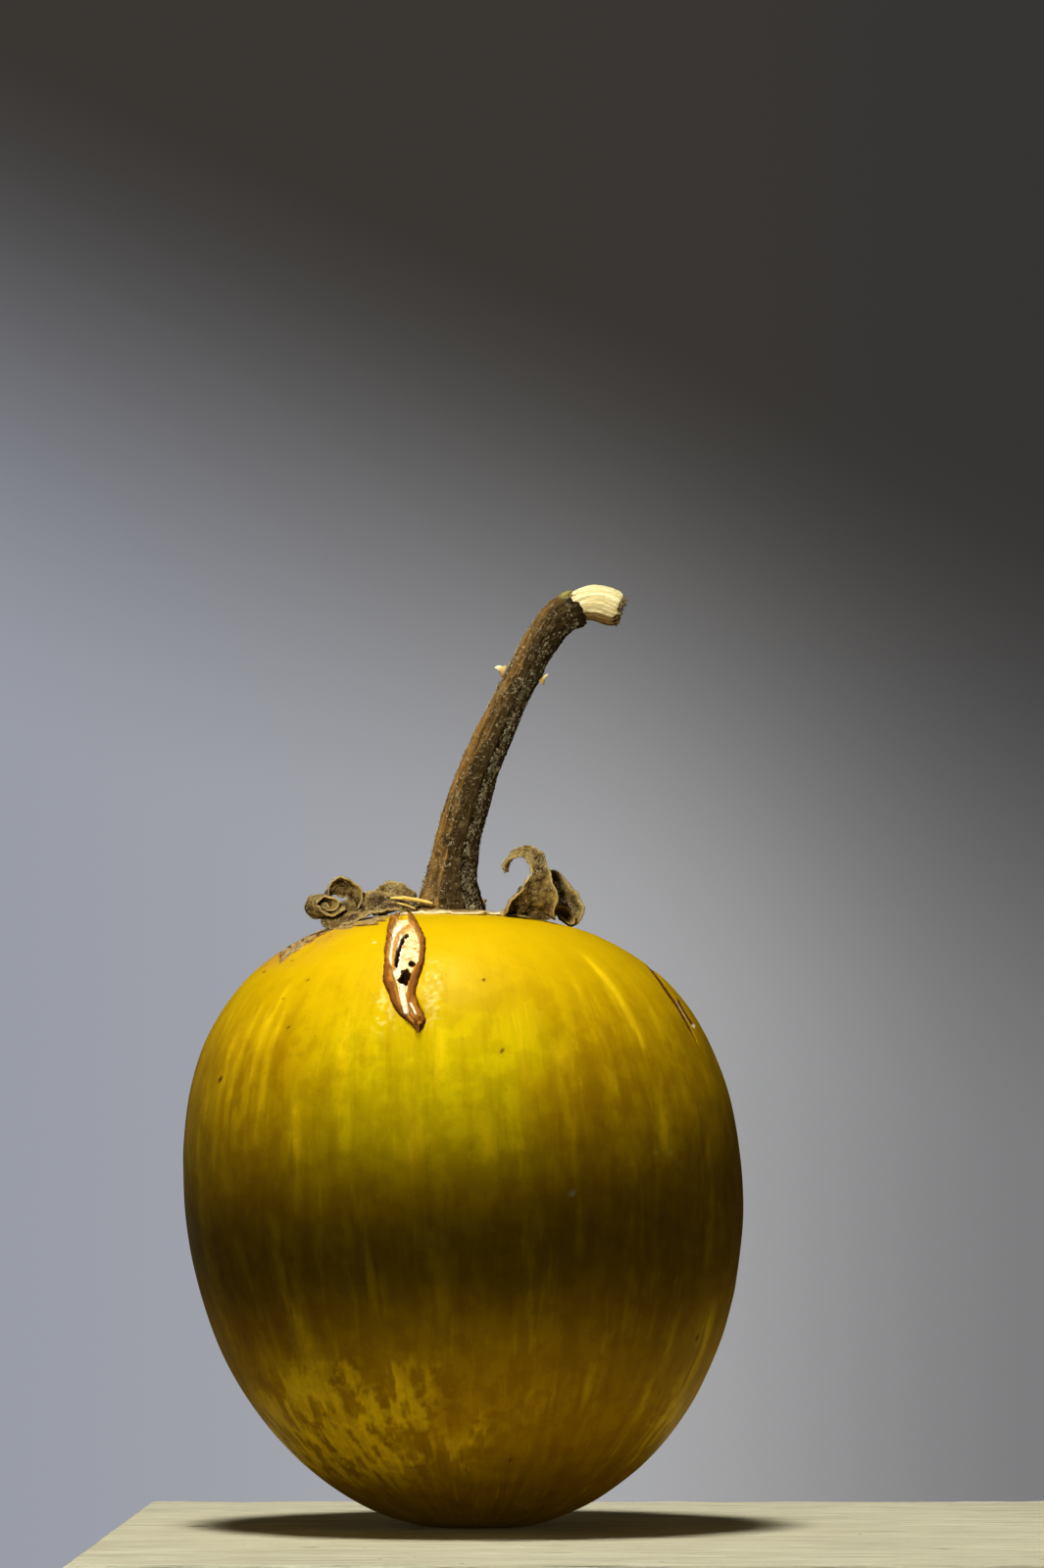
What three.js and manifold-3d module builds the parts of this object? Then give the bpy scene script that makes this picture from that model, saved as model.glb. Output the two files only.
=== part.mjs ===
// A ripe green-striped eggplant, small and round, standing on the flat spot at its blossom end.
//
// Millimetres, +Z up. The origin is on the resting plane, under the middle of the fruit's box, and the
// front of the fruit faces -Y. The fruit carries a dried calyx: a thin disc with five curled sepals. A
// woody stalk rises from the disc, bends over to the right and ends where its bark has been stripped off.
import * as THREE from 'three';
import { mergeVertices } from 'three/addons/utils/BufferGeometryUtils.js';
import Module from 'manifold-3d';

const wasm = await Module();
wasm.setup();

// Fruit
const FRUIT_HEIGHT = 72.1;
const FRUIT_RADIUS = 32.5;
const WIDEST_HEIGHT = 39.7;
const FOOT_RADIUS = 5.5;
const CROWN_RADIUS = 6;
const LEAN = 0.038; // sideways shift to the left for each millimetre of height
const SWELLING = 0.006; // how far the sides depart from a round section, as a share of the radius
const NARROW_SWELLING = 0.6; // the four narrow swellings, as a share of the two broad ones
const BROAD_TURN = 1.2; // radians by which the broad swellings are turned about the axis
const NARROW_TURN = -0.5;
const LOWER_HANDLES = [[16.4, 1.7], [FRUIT_RADIUS, 15.3]]; // radius, height of the profile's Bezier handles
const UPPER_HANDLES = [[FRUIT_RADIUS, 62.2], [19.3, 71.7]];
const FRUIT_SIDES = 60;
const FRUIT_STEPS = 19; // steps on each half of the profile

// Healed growth crack high on the front
const SCAR_STEPS = 16;
const SCAR_SIDES = 16;
const SCAR_HALF_WIDTH = 2.1;
const SCAR_DEPTH = 0.8;
const SCAR_COURSE = [ // azimuth in degrees, height
  [-104.5, 71], [-104, 68.6], [-103.8, 65.5], [-102, 62], [-99.6, 58.4],
];

// Calyx disc, stalk and prickles
const CALYX_RADIUS = 8;
const CALYX_THICKNESS = 0.8;
const CALYX_RIM_THICKNESS = 0.3;
const CALYX_SIDES = 40;
const SKIN_GAP = 0.12;
const JOINT_GAP = 0.1;
const STALK_SIDES = 20;
const STALK_RIDGES = 5;
const RIDGE_HEIGHT = 0.05; // as a share of the stalk's radius
const BARK_STEPS = 32;
const WOOD_STEPS = 8;
const PRICKLE_SIDES = 12;
const BARK_END = 37.9; // length of the bark, measured along the stalk
const STALK_COURSE = [ // x, y, z of the stalk's middle line
  [-0.8, 0, FRUIT_HEIGHT + CALYX_THICKNESS], [-0.8, 0, 75.6], [0, -0.3, 80.6], [1.25, -0.6, 85.3],
  [2.8, -0.8, 89.5], [4.95, -0.7, 94.2], [7.05, -0.4, 98.6], [9.2, 0, 102.6], [11.2, 0.3, 105.3],
  [13.4, 0.6, 107], [15.9, 0.7, 107.7], [18.9, 0.8, 107.1],
];
const STALK_RADII = [ // distance along the stalk, radius
  [0, 3.8], [0.9, 3.65], [2.2, 3.15], [4.2, 2.8], [8, 2.62], [12.4, 2.45], [17.7, 2.22], [23.2, 2.02],
  [30, 1.96], [BARK_END, 2],
];
const WOOD_RADII = [ // distance along the bared wood, radius
  [0, 1.85], [1.6, 1.92], [3.6, 1.98], [4.8, 1.9], [5.6, 1.5],
];
const PRICKLES = [
  { name: 'prickle_left', foot: [4.8, -0.5, 99.2], tip: [3.9, -0.6, 99.5], radius: 0.5 },
  { name: 'prickle_right', foot: [9.45, -0.5, 98], tip: [10.2, -0.6, 98.8], radius: 0.3 },
];

// Sepals: dried strips. Each row gives a point of the midrib, the half width there, and the azimuth and
// the rise, in degrees, of the way the width points.
const SEPAL_THICKNESS = 0.5;
const SEPAL_STEPS = 20;
const SEPAL_STEPS_ACROSS = 6;
const SEPALS = [
  {
    name: 'sepal_right_front',
    cup: 0.35,
    rows: [
      [6.6, -4.9, 72.7, 3, 55, -8], [8.4, -5.7, 74, 2.6, 40, -14], [9, -5.8, 75.9, 1.7, 30, -20],
      [8.6, -5.6, 77.9, 1.15, 50, 0], [7.3, -5.3, 78.8, 0.8, 70, 20], [5.8, -5, 78.2, 0.7, 70, 30],
      [5, -4.8, 76.4, 0.5, 70, 30],
    ],
  },
  {
    name: 'sepal_right_back',
    cup: 0.3,
    rows: [
      [6.6, 3.9, 72.8, 2.8, 115, 0], [8.6, 4.8, 74.6, 2.9, 112, 0], [10.6, 5.4, 76.1, 2.6, 110, 0],
      [12.8, 5.8, 74.7, 2.5, 108, 0], [14.1, 6, 72.6, 2.1, 106, 0], [13.2, 5.8, 71.6, 1.5, 104, 0],
    ],
  },
  {
    name: 'sepal_back',
    cup: 0.12,
    rows: [
      [-1, 8.4, 72.7, 3.3, 180, 0], [-0.9, 11.5, 72.4, 3.6, 180, 0], [-0.5, 15, 71.8, 3, 178, 4],
      [0, 18.2, 70.9, 1.9, 176, 8], [0.6, 20.4, 71.2, 0.8, 174, 12],
    ],
  },
  {
    name: 'sepal_left_back',
    cup: 0.3,
    rows: [
      [-7.2, 4.3, 72.8, 2.6, 235, 0], [-7.9, 4.8, 74.2, 2.6, 235, 0], [-9.2, 5.7, 74.7, 2.4, 235, 0],
      [-10.9, 6.9, 73.7, 1.9, 235, 0], [-12.2, 7.9, 72.5, 0.9, 235, 0],
    ],
  },
  {
    name: 'sepal_left_front',
    cup: 0.25,
    rows: [
      [-8.6, -3.9, 72.7, 2.8, 290, -14], [-11, -5, 72.9, 2.5, 290, -16], [-13.8, -5.8, 72.3, 2.2, 290, -10],
      [-16.4, -6.2, 72, 1.7, 285, 0], [-17.4, -6.2, 73.4, 1.2, 282, 0], [-15.9, -5.8, 74.9, 0.9, 282, 0],
      [-13.6, -5.2, 75.5, 0.7, 282, 0], [-11.9, -4.6, 74.4, 0.5, 282, 0],
    ],
  },
];

const FINISHES = {
  skin: { color: 0xc79a08, roughness: 0.35 },
  calyx: { color: 0xb7a677, roughness: 0.8 },
  bark: { color: 0x5d4526, roughness: 0.85 },
  wood: { color: 0xe6d69c, roughness: 0.7 },
  sepal: { color: 0x8f7742, roughness: 0.85 },
  prickle: { color: 0xcfb77c, roughness: 0.6 },
};

function namedMesh(name, geometry, finish) {
  const mesh = new THREE.Mesh(geometry, new THREE.MeshStandardMaterial({ ...finish, metalness: 0 }));
  mesh.name = name;
  return mesh;
}

// The value at a place, on straight lines between listed [place, value] pairs.
function valueAlong(pairs, place) {
  const next = pairs.findIndex(([listed]) => listed >= place);
  if (next === 0) return pairs[0][1];
  if (next < 0) return pairs[pairs.length - 1][1];
  const [fromPlace, from] = pairs[next - 1];
  const [toPlace, to] = pairs[next];
  return THREE.MathUtils.mapLinear(place, fromPlace, toPlace, from, to);
}

function bezierHalf(from, handles, to) {
  const points = [from, ...handles, to].map(([radius, height]) => new THREE.Vector2(radius, height));
  return new THREE.CubicBezierCurve(...points);
}

// The profile's two halves, from the foot to the widest height and on to the crown: radius, height.
const WIDEST = [FRUIT_RADIUS, WIDEST_HEIGHT];
const LOWER_HALF = bezierHalf([FOOT_RADIUS, 0], LOWER_HANDLES, WIDEST);
const UPPER_HALF = bezierHalf(WIDEST, UPPER_HANDLES, [CROWN_RADIUS, FRUIT_HEIGHT]);

function profilePoints() {
  const lower = LOWER_HALF.getPoints(FRUIT_STEPS);
  const upper = UPPER_HALF.getPoints(FRUIT_STEPS).slice(1);
  const axisFoot = new THREE.Vector2(0, 0);
  const axisCrown = new THREE.Vector2(0, FRUIT_HEIGHT);
  return [axisFoot, ...lower, ...upper, axisCrown];
}

// The profile's radius at a height, by halving the stretch of the curve that holds it.
function profileRadius(height) {
  const half = height < WIDEST_HEIGHT ? LOWER_HALF : UPPER_HALF;
  let low = 0;
  let high = 1;
  for (let turn = 0; turn < 30; turn += 1) {
    const middle = (low + high) / 2;
    if (half.getPoint(middle).y < height) low = middle;
    else high = middle;
  }
  return half.getPoint(low).x;
}

// The fruit's gentle swellings: two broad and four narrow ones around the axis.
function swell(azimuth) {
  const broad = Math.cos(2 * azimuth - BROAD_TURN);
  const narrow = Math.cos(4 * azimuth - NARROW_TURN);
  return 1 + SWELLING * (broad + NARROW_SWELLING * narrow);
}

function axisShift(height) {
  return LEAN * (WIDEST_HEIGHT - height);
}

// The point of the skin at an azimuth and a height, moved outwards by a clearance.
function skinPoint(azimuth, height, clearance) {
  const radius = profileRadius(height) * swell(azimuth) + clearance;
  return new THREE.Vector3(
    axisShift(height) + radius * Math.cos(azimuth),
    radius * Math.sin(azimuth),
    height,
  );
}

function moveVertices(geometry, move) {
  const { position } = geometry.attributes;
  const point = new THREE.Vector3();
  for (let index = 0; index < position.count; index += 1) {
    point.fromBufferAttribute(position, index);
    move(point);
    position.setXYZ(index, point.x, point.y, point.z);
  }
  geometry.deleteAttribute('normal');
  geometry.deleteAttribute('uv');
  return mergeVertices(geometry, 1e-4);
}

// A turned shape on the vertical axis. LatheGeometry turns about Y, so it is laid over to stand on Z.
function turned(profile, sides) {
  const geometry = new THREE.LatheGeometry(profile, sides);
  geometry.rotateX(Math.PI / 2);
  return geometry;
}

// A turned shape laid along a curve: its height becomes the distance along the curve, and its section
// stays square to it.
function bentAlong(curve, geometry, sectionScale = () => 1) {
  const length = curve.getLength();
  const sideways = new THREE.Vector3();
  const upright = new THREE.Vector3();
  return moveVertices(geometry, (point) => {
    const share = THREE.MathUtils.clamp(point.z / length, 0, 1);
    const along = curve.getTangentAt(share);
    sideways.crossVectors(new THREE.Vector3(0, 1, 0), along).normalize();
    upright.crossVectors(along, sideways);
    const scale = sectionScale(Math.atan2(point.y, point.x));
    const { x, y } = point;
    point.copy(curve.getPointAt(share));
    point.addScaledVector(sideways, x * scale);
    point.addScaledVector(upright, y * scale);
  });
}

function toSolid(geometry) {
  return new wasm.Manifold(new wasm.Mesh({
    numProp: 3,
    vertProperties: new Float32Array(geometry.attributes.position.array),
    triVerts: new Uint32Array(geometry.index.array),
  }));
}

function toGeometry(solid) {
  const mesh = solid.getMesh();
  const geometry = new THREE.BufferGeometry();
  geometry.setAttribute('position', new THREE.BufferAttribute(mesh.vertProperties, 3));
  geometry.setIndex(new THREE.BufferAttribute(mesh.triVerts, 1));
  return geometry;
}

// A spindle along the crack, with its middle line held above the skin so that it cuts to the depth.
function scarCutter() {
  const lift = SCAR_HALF_WIDTH - SCAR_DEPTH;
  const course = new THREE.CatmullRomCurve3(SCAR_COURSE.map(([degrees, height]) => (
    skinPoint(THREE.MathUtils.degToRad(degrees), height, lift)
  )));
  const length = course.getLength();
  const profile = [];
  for (let step = 0; step <= SCAR_STEPS; step += 1) {
    const share = step / SCAR_STEPS;
    const radius = SCAR_HALF_WIDTH * Math.sqrt(Math.max(Math.sin(Math.PI * share), 0));
    profile.push(new THREE.Vector2(radius, share * length));
  }
  return bentAlong(course, turned(profile, SCAR_SIDES));
}

function fruit() {
  const geometry = moveVertices(turned(profilePoints(), FRUIT_SIDES), (point) => {
    const scale = swell(Math.atan2(point.y, point.x));
    point.x = point.x * scale + axisShift(point.z);
    point.y *= scale;
  });
  const solid = toSolid(geometry).subtract(toSolid(scarCutter()));
  return namedMesh('fruit', toGeometry(solid), FINISHES.skin);
}

// The calyx disc lies just above the crown and thins out to its rim.
function calyx() {
  const crown = FRUIT_HEIGHT + SKIN_GAP;
  const top = FRUIT_HEIGHT + CALYX_THICKNESS - JOINT_GAP;
  const profile = [
    new THREE.Vector2(0, crown),
    new THREE.Vector2(CALYX_RADIUS, crown),
    new THREE.Vector2(CALYX_RADIUS, crown + CALYX_RIM_THICKNESS),
    new THREE.Vector2(CROWN_RADIUS, top),
    new THREE.Vector2(0, top),
  ];
  const geometry = moveVertices(turned(profile, CALYX_SIDES), (point) => {
    point.x += axisShift(FRUIT_HEIGHT);
  });
  return namedMesh('calyx', geometry, FINISHES.calyx);
}

const STALK_CURVE = new THREE.CatmullRomCurve3(STALK_COURSE.map((point) => new THREE.Vector3(...point)));

function ridged(azimuth) {
  return 1 + RIDGE_HEIGHT * Math.cos(STALK_RIDGES * azimuth);
}

// A stretch of the stalk, from one distance along it to another, with the radius that a list gives.
function stalkStretch(radii, from, to, steps) {
  const profile = [new THREE.Vector2(0, from)];
  for (let step = 0; step <= steps; step += 1) {
    const place = THREE.MathUtils.lerp(from, to, step / steps);
    profile.push(new THREE.Vector2(valueAlong(radii, place), place));
  }
  profile.push(new THREE.Vector2(0, to));
  return profile;
}

function stalk() {
  const profile = stalkStretch(STALK_RADII, 0, BARK_END, BARK_STEPS);
  return namedMesh('stalk', bentAlong(STALK_CURVE, turned(profile, STALK_SIDES), ridged), FINISHES.bark);
}

function stalkWoodTip() {
  const from = BARK_END + JOINT_GAP;
  const to = STALK_CURVE.getLength();
  const radii = WOOD_RADII.map(([place, radius]) => [place + from, radius]);
  const profile = stalkStretch(radii, from, to, WOOD_STEPS);
  return namedMesh('stalk_wood_tip', bentAlong(STALK_CURVE, turned(profile, STALK_SIDES)), FINISHES.wood);
}

// A prickle: a cone from its foot on the bark to its tip.
function prickle({ name, foot, tip, radius }) {
  const from = new THREE.Vector3(...foot);
  const to = new THREE.Vector3(...tip);
  const height = from.distanceTo(to);
  const geometry = new THREE.ConeGeometry(radius, height, PRICKLE_SIDES);
  geometry.translate(0, height / 2, 0);
  const mesh = namedMesh(name, geometry, FINISHES.prickle);
  mesh.position.copy(from);
  mesh.quaternion.setFromUnitVectors(new THREE.Vector3(0, 1, 0), to.sub(from).normalize());
  return mesh;
}

// A sepal: a slab whose length follows the midrib, whose width follows the given ways, and whose edges
// turn up towards the side that the width and the midrib face.
function sepal({ name, cup, rows }) {
  const midrib = new THREE.CatmullRomCurve3(rows.map(([x, y, z]) => new THREE.Vector3(x, y, z)));
  const listed = (column) => rows.map((row, index) => [index / (rows.length - 1), row[column]]);
  const [halfWidths, azimuths, rises] = [3, 4, 5].map(listed);
  const side = new THREE.Vector3();
  const face = new THREE.Vector3();
  const slab = new THREE.BoxGeometry(1, 1, 1, SEPAL_STEPS, SEPAL_STEPS_ACROSS, 1);
  const geometry = moveVertices(slab, (point) => {
    const share = point.x + 0.5;
    const across = 2 * point.y;
    const through = point.z;
    const along = midrib.getTangent(share);
    const azimuth = THREE.MathUtils.degToRad(valueAlong(azimuths, share));
    const rise = THREE.MathUtils.degToRad(valueAlong(rises, share));
    side.set(Math.cos(azimuth) * Math.cos(rise), Math.sin(azimuth) * Math.cos(rise), Math.sin(rise));
    face.crossVectors(along, side).normalize();
    side.crossVectors(face, along);
    const halfWidth = valueAlong(halfWidths, share);
    point.copy(midrib.getPoint(share));
    point.addScaledVector(side, halfWidth * across);
    point.addScaledVector(face, cup * halfWidth * across ** 2 + SEPAL_THICKNESS * through);
  });
  return namedMesh(name, geometry, FINISHES.sepal);
}

const eggplant = new THREE.Group();
eggplant.add(fruit());
eggplant.add(calyx());
eggplant.add(stalk());
eggplant.add(stalkWoodTip());
SEPALS.forEach((spec) => eggplant.add(sepal(spec)));
PRICKLES.forEach((spec) => eggplant.add(prickle(spec)));

export default eggplant;
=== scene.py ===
"""A ripe streaked eggplant: the fruit, its dried calyx with five curled sepals, and its woody stalk.

Every surface is worked out in millimetres with numpy and put into its mesh in metres, in the frame of
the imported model: +Z up, the front of the fruit towards -Y, the stalk bending towards +X.
"""

import math
from types import SimpleNamespace

import bpy
import numpy as np
from bpy.props import FloatProperty, FloatVectorProperty, IntProperty, PointerProperty
from bpy.types import Operator, Panel, PropertyGroup
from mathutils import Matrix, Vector


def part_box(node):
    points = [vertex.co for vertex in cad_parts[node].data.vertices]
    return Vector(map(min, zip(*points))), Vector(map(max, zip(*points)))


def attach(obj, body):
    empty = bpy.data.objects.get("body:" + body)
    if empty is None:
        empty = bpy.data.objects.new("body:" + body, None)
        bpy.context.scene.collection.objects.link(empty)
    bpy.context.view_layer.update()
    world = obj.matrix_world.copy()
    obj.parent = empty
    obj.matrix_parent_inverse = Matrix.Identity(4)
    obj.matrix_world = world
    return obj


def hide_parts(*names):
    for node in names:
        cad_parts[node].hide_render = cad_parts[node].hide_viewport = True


bl_info = {
    "name": "Ripe Eggplant",
    "version": (1, 0, 0),
    "blender": (4, 5, 0),
    "location": "View3D > Sidebar > Eggplant",
    "description": "Builds a ripe streaked eggplant with its dried calyx and stalk",
    "category": "Add Mesh",
}

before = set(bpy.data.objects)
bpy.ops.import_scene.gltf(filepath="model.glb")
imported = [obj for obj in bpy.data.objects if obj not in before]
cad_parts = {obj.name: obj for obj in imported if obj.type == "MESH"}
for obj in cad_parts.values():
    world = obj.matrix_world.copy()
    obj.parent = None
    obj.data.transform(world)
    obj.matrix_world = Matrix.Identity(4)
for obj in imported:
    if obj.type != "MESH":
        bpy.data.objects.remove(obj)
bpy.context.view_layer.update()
MM = 0.001


def box_mm(node):
    """Lowest and highest corner of a node of the frame, in millimetres."""
    low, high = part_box(node)
    return np.array(low) / MM, np.array(high) / MM


# Fruit: driving sizes from the frame, the rest as shares of them.
CROWN_SINK = 1.75  # the crown of the skin lies this far under the top of the fruit's box
FRUIT_HEIGHT = box_mm("fruit")[1][2] - CROWN_SINK
SWELLING = 0.006
NARROW_SWELLING = 0.6
DEPTH_SWELL = 0.18  # the swellings' sum where the fruit reaches furthest along Y
SKIN_SHARE = 0.9915  # of the way out to the side of the fruit's box
FRUIT_RADIUS = SKIN_SHARE * box_mm("fruit")[1][1] / (1 + SWELLING * DEPTH_SWELL)
WIDEST = 0.5643 * FRUIT_HEIGHT
LEAN = 0.038
AXIS_OFFSET = 0.25
FOOT_RADIUS = 0.169 * FRUIT_RADIUS
CROWN_RADIUS = 0.185 * FRUIT_RADIUS
# Where the camera stands, from which marks are laid out on the flat plane of the front, y = 0.
EYE = np.array([7.1, -650.0, 34.0])


# Number helpers, each for whole arrays ---------------------------------------------------------------


def ramp(low, high, x):
    """Rises smoothly from 0 at low to 1 at high: 3t^2 - 2t^3, t = (x - low) / (high - low) held to 0..1."""
    t = np.clip((x - low) / (high - low), 0, 1)
    return t * t * (3 - 2 * t)


def bell(x, centre, spread):
    """A bell with a flat top: exp(-((x - centre) / spread)^4)."""
    return np.exp(-(((x - centre) / spread) ** 4))


def blend(a, b, share):
    """a where share is 0 and b where it is 1, for colours: a (1 - share) + b share."""
    share = np.clip(share, 0, 1)[..., None]
    return np.asarray(a) * (1 - share) + np.asarray(b) * share


def painted(tint, paints):
    """A tint with each paint of a list of (paint, share) laid over it in turn."""
    for paint, share in paints:
        tint = blend(tint, paint, share)
    return tint


def uneven(low, high, count, spots):
    """count places from low to high, closer together at the spots.

    They are equal steps of the integral of a density: 1 plus, for each spot (centre, spread, gain), the
    gain times a bell round its centre.
    """
    fine = np.linspace(low, high, 4000)
    density = 1 + sum(gain * bell(fine, centre, spread) for centre, spread, gain in spots)
    total = np.concatenate([[0], np.cumsum((density[1:] + density[:-1]) / 2)])
    return np.interp(np.linspace(0, total[-1], count), total, fine)


def lattice_noise(points, size, seed):
    """Smooth noise from -1 to 1: random values on a lattice of cubes of the given size.

    Each point blends the values at its cube's eight corners, with the weight 3t^2 - 2t^3 on each axis.
    """
    period = 32
    table = np.random.default_rng(seed).uniform(-1, 1, (period, period, period))
    scaled = points / size
    cell = np.floor(scaled).astype(int)
    t = scaled - cell
    t = t * t * (3 - 2 * t)
    value = np.zeros(points.shape[:-1])
    for corner in np.ndindex(2, 2, 2):
        weight = np.prod(np.where(corner, t, 1 - t), axis=-1)
        i, j, k = np.moveaxis((cell + corner) % period, -1, 0)
        value += weight * table[i, j, k]
    return value


def layered_noise(points, size, seed, layers=3):
    """Sum of lattice noises, each half as large and half as strong as the one before."""
    return sum(lattice_noise(points, size / 2**n, seed + n) / 2**n for n in range(layers))


def through(rows, places):
    """A smooth curve through rows of numbers, at places from 0 (first row) to 1 (last row).

    Between rows b and c it is the Catmull-Rom cubic
    (2b + (c - a) t + (2a - 5b + 4c - d) t^2 + (3b - a - 3c + d) t^3) / 2.
    """
    rows = np.asarray(rows, float)
    padded = np.concatenate([[2 * rows[0] - rows[1]], rows, [2 * rows[-1] - rows[-2]]])
    scaled = np.clip(places, 0, 1) * (len(rows) - 1)
    first = np.minimum(scaled.astype(int), len(rows) - 2)
    t = (scaled - first)[:, None]
    a, b, c, d = (padded[first + n] for n in range(4))
    return (2 * b + (c - a) * t + (2 * a - 5 * b + 4 * c - d) * t**2 + (3 * b - a - 3 * c + d) * t**3) / 2


def unit(vectors):
    """Vectors scaled to length 1."""
    return vectors / np.maximum(np.linalg.norm(vectors, axis=-1, keepdims=True), 1e-9)


def line_distance(x, z, line):
    """Distance from points (x, z) to a line of straight stretches, and the share of its length reached.

    On each stretch the nearest point is at t = (p - a) . (b - a) / |b - a|^2, held to 0..1.
    """
    line = np.asarray(line, float)
    steps = np.diff(line, axis=0)
    lengths = np.linalg.norm(steps, axis=1)
    starts = np.concatenate([[0], np.cumsum(lengths)]) / lengths.sum()
    nearest = np.full(np.shape(x), np.inf)
    share = np.zeros(np.shape(x))
    for start, step, length, before in zip(line, steps, lengths, starts):
        t = np.clip(((x - start[0]) * step[0] + (z - start[1]) * step[1]) / length**2, 0, 1)
        distance = np.hypot(x - start[0] - t * step[0], z - start[1] - t * step[1])
        closer = distance < nearest
        nearest = np.where(closer, distance, nearest)
        share = np.where(closer, before + t * length / lengths.sum(), share)
    return nearest, share


def ring_normals(rings):
    """Outward normals of closed rings: the cross product of the steps round and along the surface."""
    along = np.gradient(rings, axis=0)
    around = np.roll(rings, -1, axis=1) - np.roll(rings, 1, axis=1)
    normals = unit(np.cross(around, along))
    outwards = rings - rings.mean(axis=1, keepdims=True)
    return normals * np.sign(np.sum(normals * outwards) + 1e-9)


def signed_volume(points, quads):
    """Volume inside quads, negative where they are inside out: the sum of a . (b x c) / 6 over triangles."""
    centre = points.mean(axis=0)
    a, b, c, d = (points[quads[:, n]] - centre for n in range(4))
    return (np.sum(a * np.cross(b, c)) + np.sum(a * np.cross(c, d))) / 6


# Meshes ----------------------------------------------------------------------------------------------


def skinned(rings, layers=None):
    """One closed body from closed rings of points: quads between rings and a fan at each end.

    Returns points, faces and the layers, which hold a value for each point of the rings and take the
    end rings' means at the two fan centres.
    """
    count, sides = rings.shape[:2]
    points = np.concatenate([rings.reshape(-1, 3), rings[[0, -1]].mean(axis=1)])
    index = np.arange(count * sides).reshape(count, sides)
    after = np.roll(index, -1, axis=1)
    quads = np.stack([index[:-1], after[:-1], after[1:], index[1:]], axis=-1).reshape(-1, 4)
    start = np.full(sides, count * sides)
    first = np.stack([start, after[0], index[0]], axis=-1)
    last = np.stack([start + 1, index[-1], after[-1]], axis=-1)
    fans = np.concatenate([first, last])
    if signed_volume(points, quads) < 0:
        quads, fans = quads[:, ::-1], fans[:, ::-1]
    values = {}
    for name, layer in (layers or {}).items():
        flat = layer.reshape(count * sides, *layer.shape[2:])
        values[name] = np.concatenate([flat, layer[[0, -1]].mean(axis=1)])
    return points, quads.tolist() + fans.tolist(), values


def joined(bodies):
    """Several bodies as one."""
    points, faces, values = [], [], {}
    start = 0
    for body_points, body_faces, body_values in bodies:
        faces += [[corner + start for corner in face] for face in body_faces]
        start += len(body_points)
        points.append(body_points)
        for name, layer in body_values.items():
            values.setdefault(name, []).append(layer)
    return np.concatenate(points), faces, {name: np.concatenate(parts) for name, parts in values.items()}


def spikes(feet, ways, lengths, radii):
    """Many small closed spikes, each a three-cornered cone from its foot along its way."""
    ways = unit(ways)
    helper = np.where(np.abs(ways[:, 2:]) < 0.8, [[0.0, 0.0, 1.0]], [[1.0, 0.0, 0.0]])
    side = unit(np.cross(helper, ways))
    other = np.cross(ways, side)
    corners = [
        feet + radii[:, None] * (math.cos(turn) * side + math.sin(turn) * other)
        for turn in (0, 2 * math.pi / 3, 4 * math.pi / 3)
    ]
    points = np.stack([*corners, feet + lengths[:, None] * ways], axis=1).reshape(-1, 3)
    pattern = np.array([[0, 2, 1], [0, 1, 3], [1, 2, 3], [2, 0, 3]])
    faces = (np.arange(len(feet))[:, None, None] * 4 + pattern).reshape(-1, 3)
    return points, faces.tolist(), {}


def mesh_object(name, body, material):
    """An object from a body in millimetres, smooth, with its layers as attributes and one material."""
    points, faces, values = body
    mesh = bpy.data.meshes.new(name)
    mesh.from_pydata((points * MM).tolist(), [], faces)
    for layer, data in values.items():
        kind, key = ("FLOAT", "value") if data.ndim == 1 else ("FLOAT_VECTOR", "vector")
        attribute = mesh.attributes.new(layer, kind, "POINT")
        attribute.data.foreach_set(key, np.ascontiguousarray(data, np.float32).ravel())
    mesh.shade_smooth()
    mesh.materials.append(material)
    made = bpy.data.objects.new(name, mesh)
    bpy.context.scene.collection.objects.link(made)
    return made


def add_piece(name, body, material, replaces=()):
    """A finished piece of the eggplant, riding on the root."""
    piece = mesh_object(name, body, material)
    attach(piece, "root")
    if replaces:
        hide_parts(*replaces)


# Fruit surface ---------------------------------------------------------------------------------------


def bezier(a, b, c, d, t):
    """The cubic (1-t)^3 a + 3 (1-t)^2 t b + 3 (1-t) t^2 c + t^3 d."""
    t = t[:, None]
    a, b, c, d = map(np.array, (a, b, c, d))
    return (1 - t) ** 3 * a + 3 * (1 - t) ** 2 * t * b + 3 * (1 - t) * t**2 * c + t**3 * d


def fruit_profile():
    """Radius, height and length along the profile, from the middle of the foot to that of the crown.

    A flat foot, a lower and an upper Bezier curve that meet at the widest height, and a flat crown.
    """
    radius, height = FRUIT_RADIUS, FRUIT_HEIGHT
    t = np.linspace(0, 1, 600)
    widest = (radius, WIDEST)
    lower = bezier((FOOT_RADIUS, 0), (0.545 * radius, 1.8), (radius, 15.3), widest, t)
    upper = bezier(widest, (radius, 61.6), (0.595 * radius, height - 0.2), (CROWN_RADIUS, height), t)
    rows = np.concatenate([[[0, 0]], lower, upper[1:], [[0, height]]])
    lengths = np.concatenate([[0], np.cumsum(np.linalg.norm(np.diff(rows, axis=0), axis=1))])
    return rows[:, 0], rows[:, 1], lengths


PROFILE_RADII, PROFILE_HEIGHTS, PROFILE_LENGTHS = fruit_profile()


def swell(azimuth):
    """Two broad and four narrow swellings: 1 + swelling (cos(2a - 1.2) + narrow share cos(4a + 0.5))."""
    return 1 + SWELLING * (np.cos(2 * azimuth - 1.2) + NARROW_SWELLING * np.cos(4 * azimuth + 0.5))


def axis_shift(height):
    """The fruit's axis leans to the left by a share of the height, and is set a little to the right."""
    return LEAN * (WIDEST - height) + AXIS_OFFSET


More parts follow.
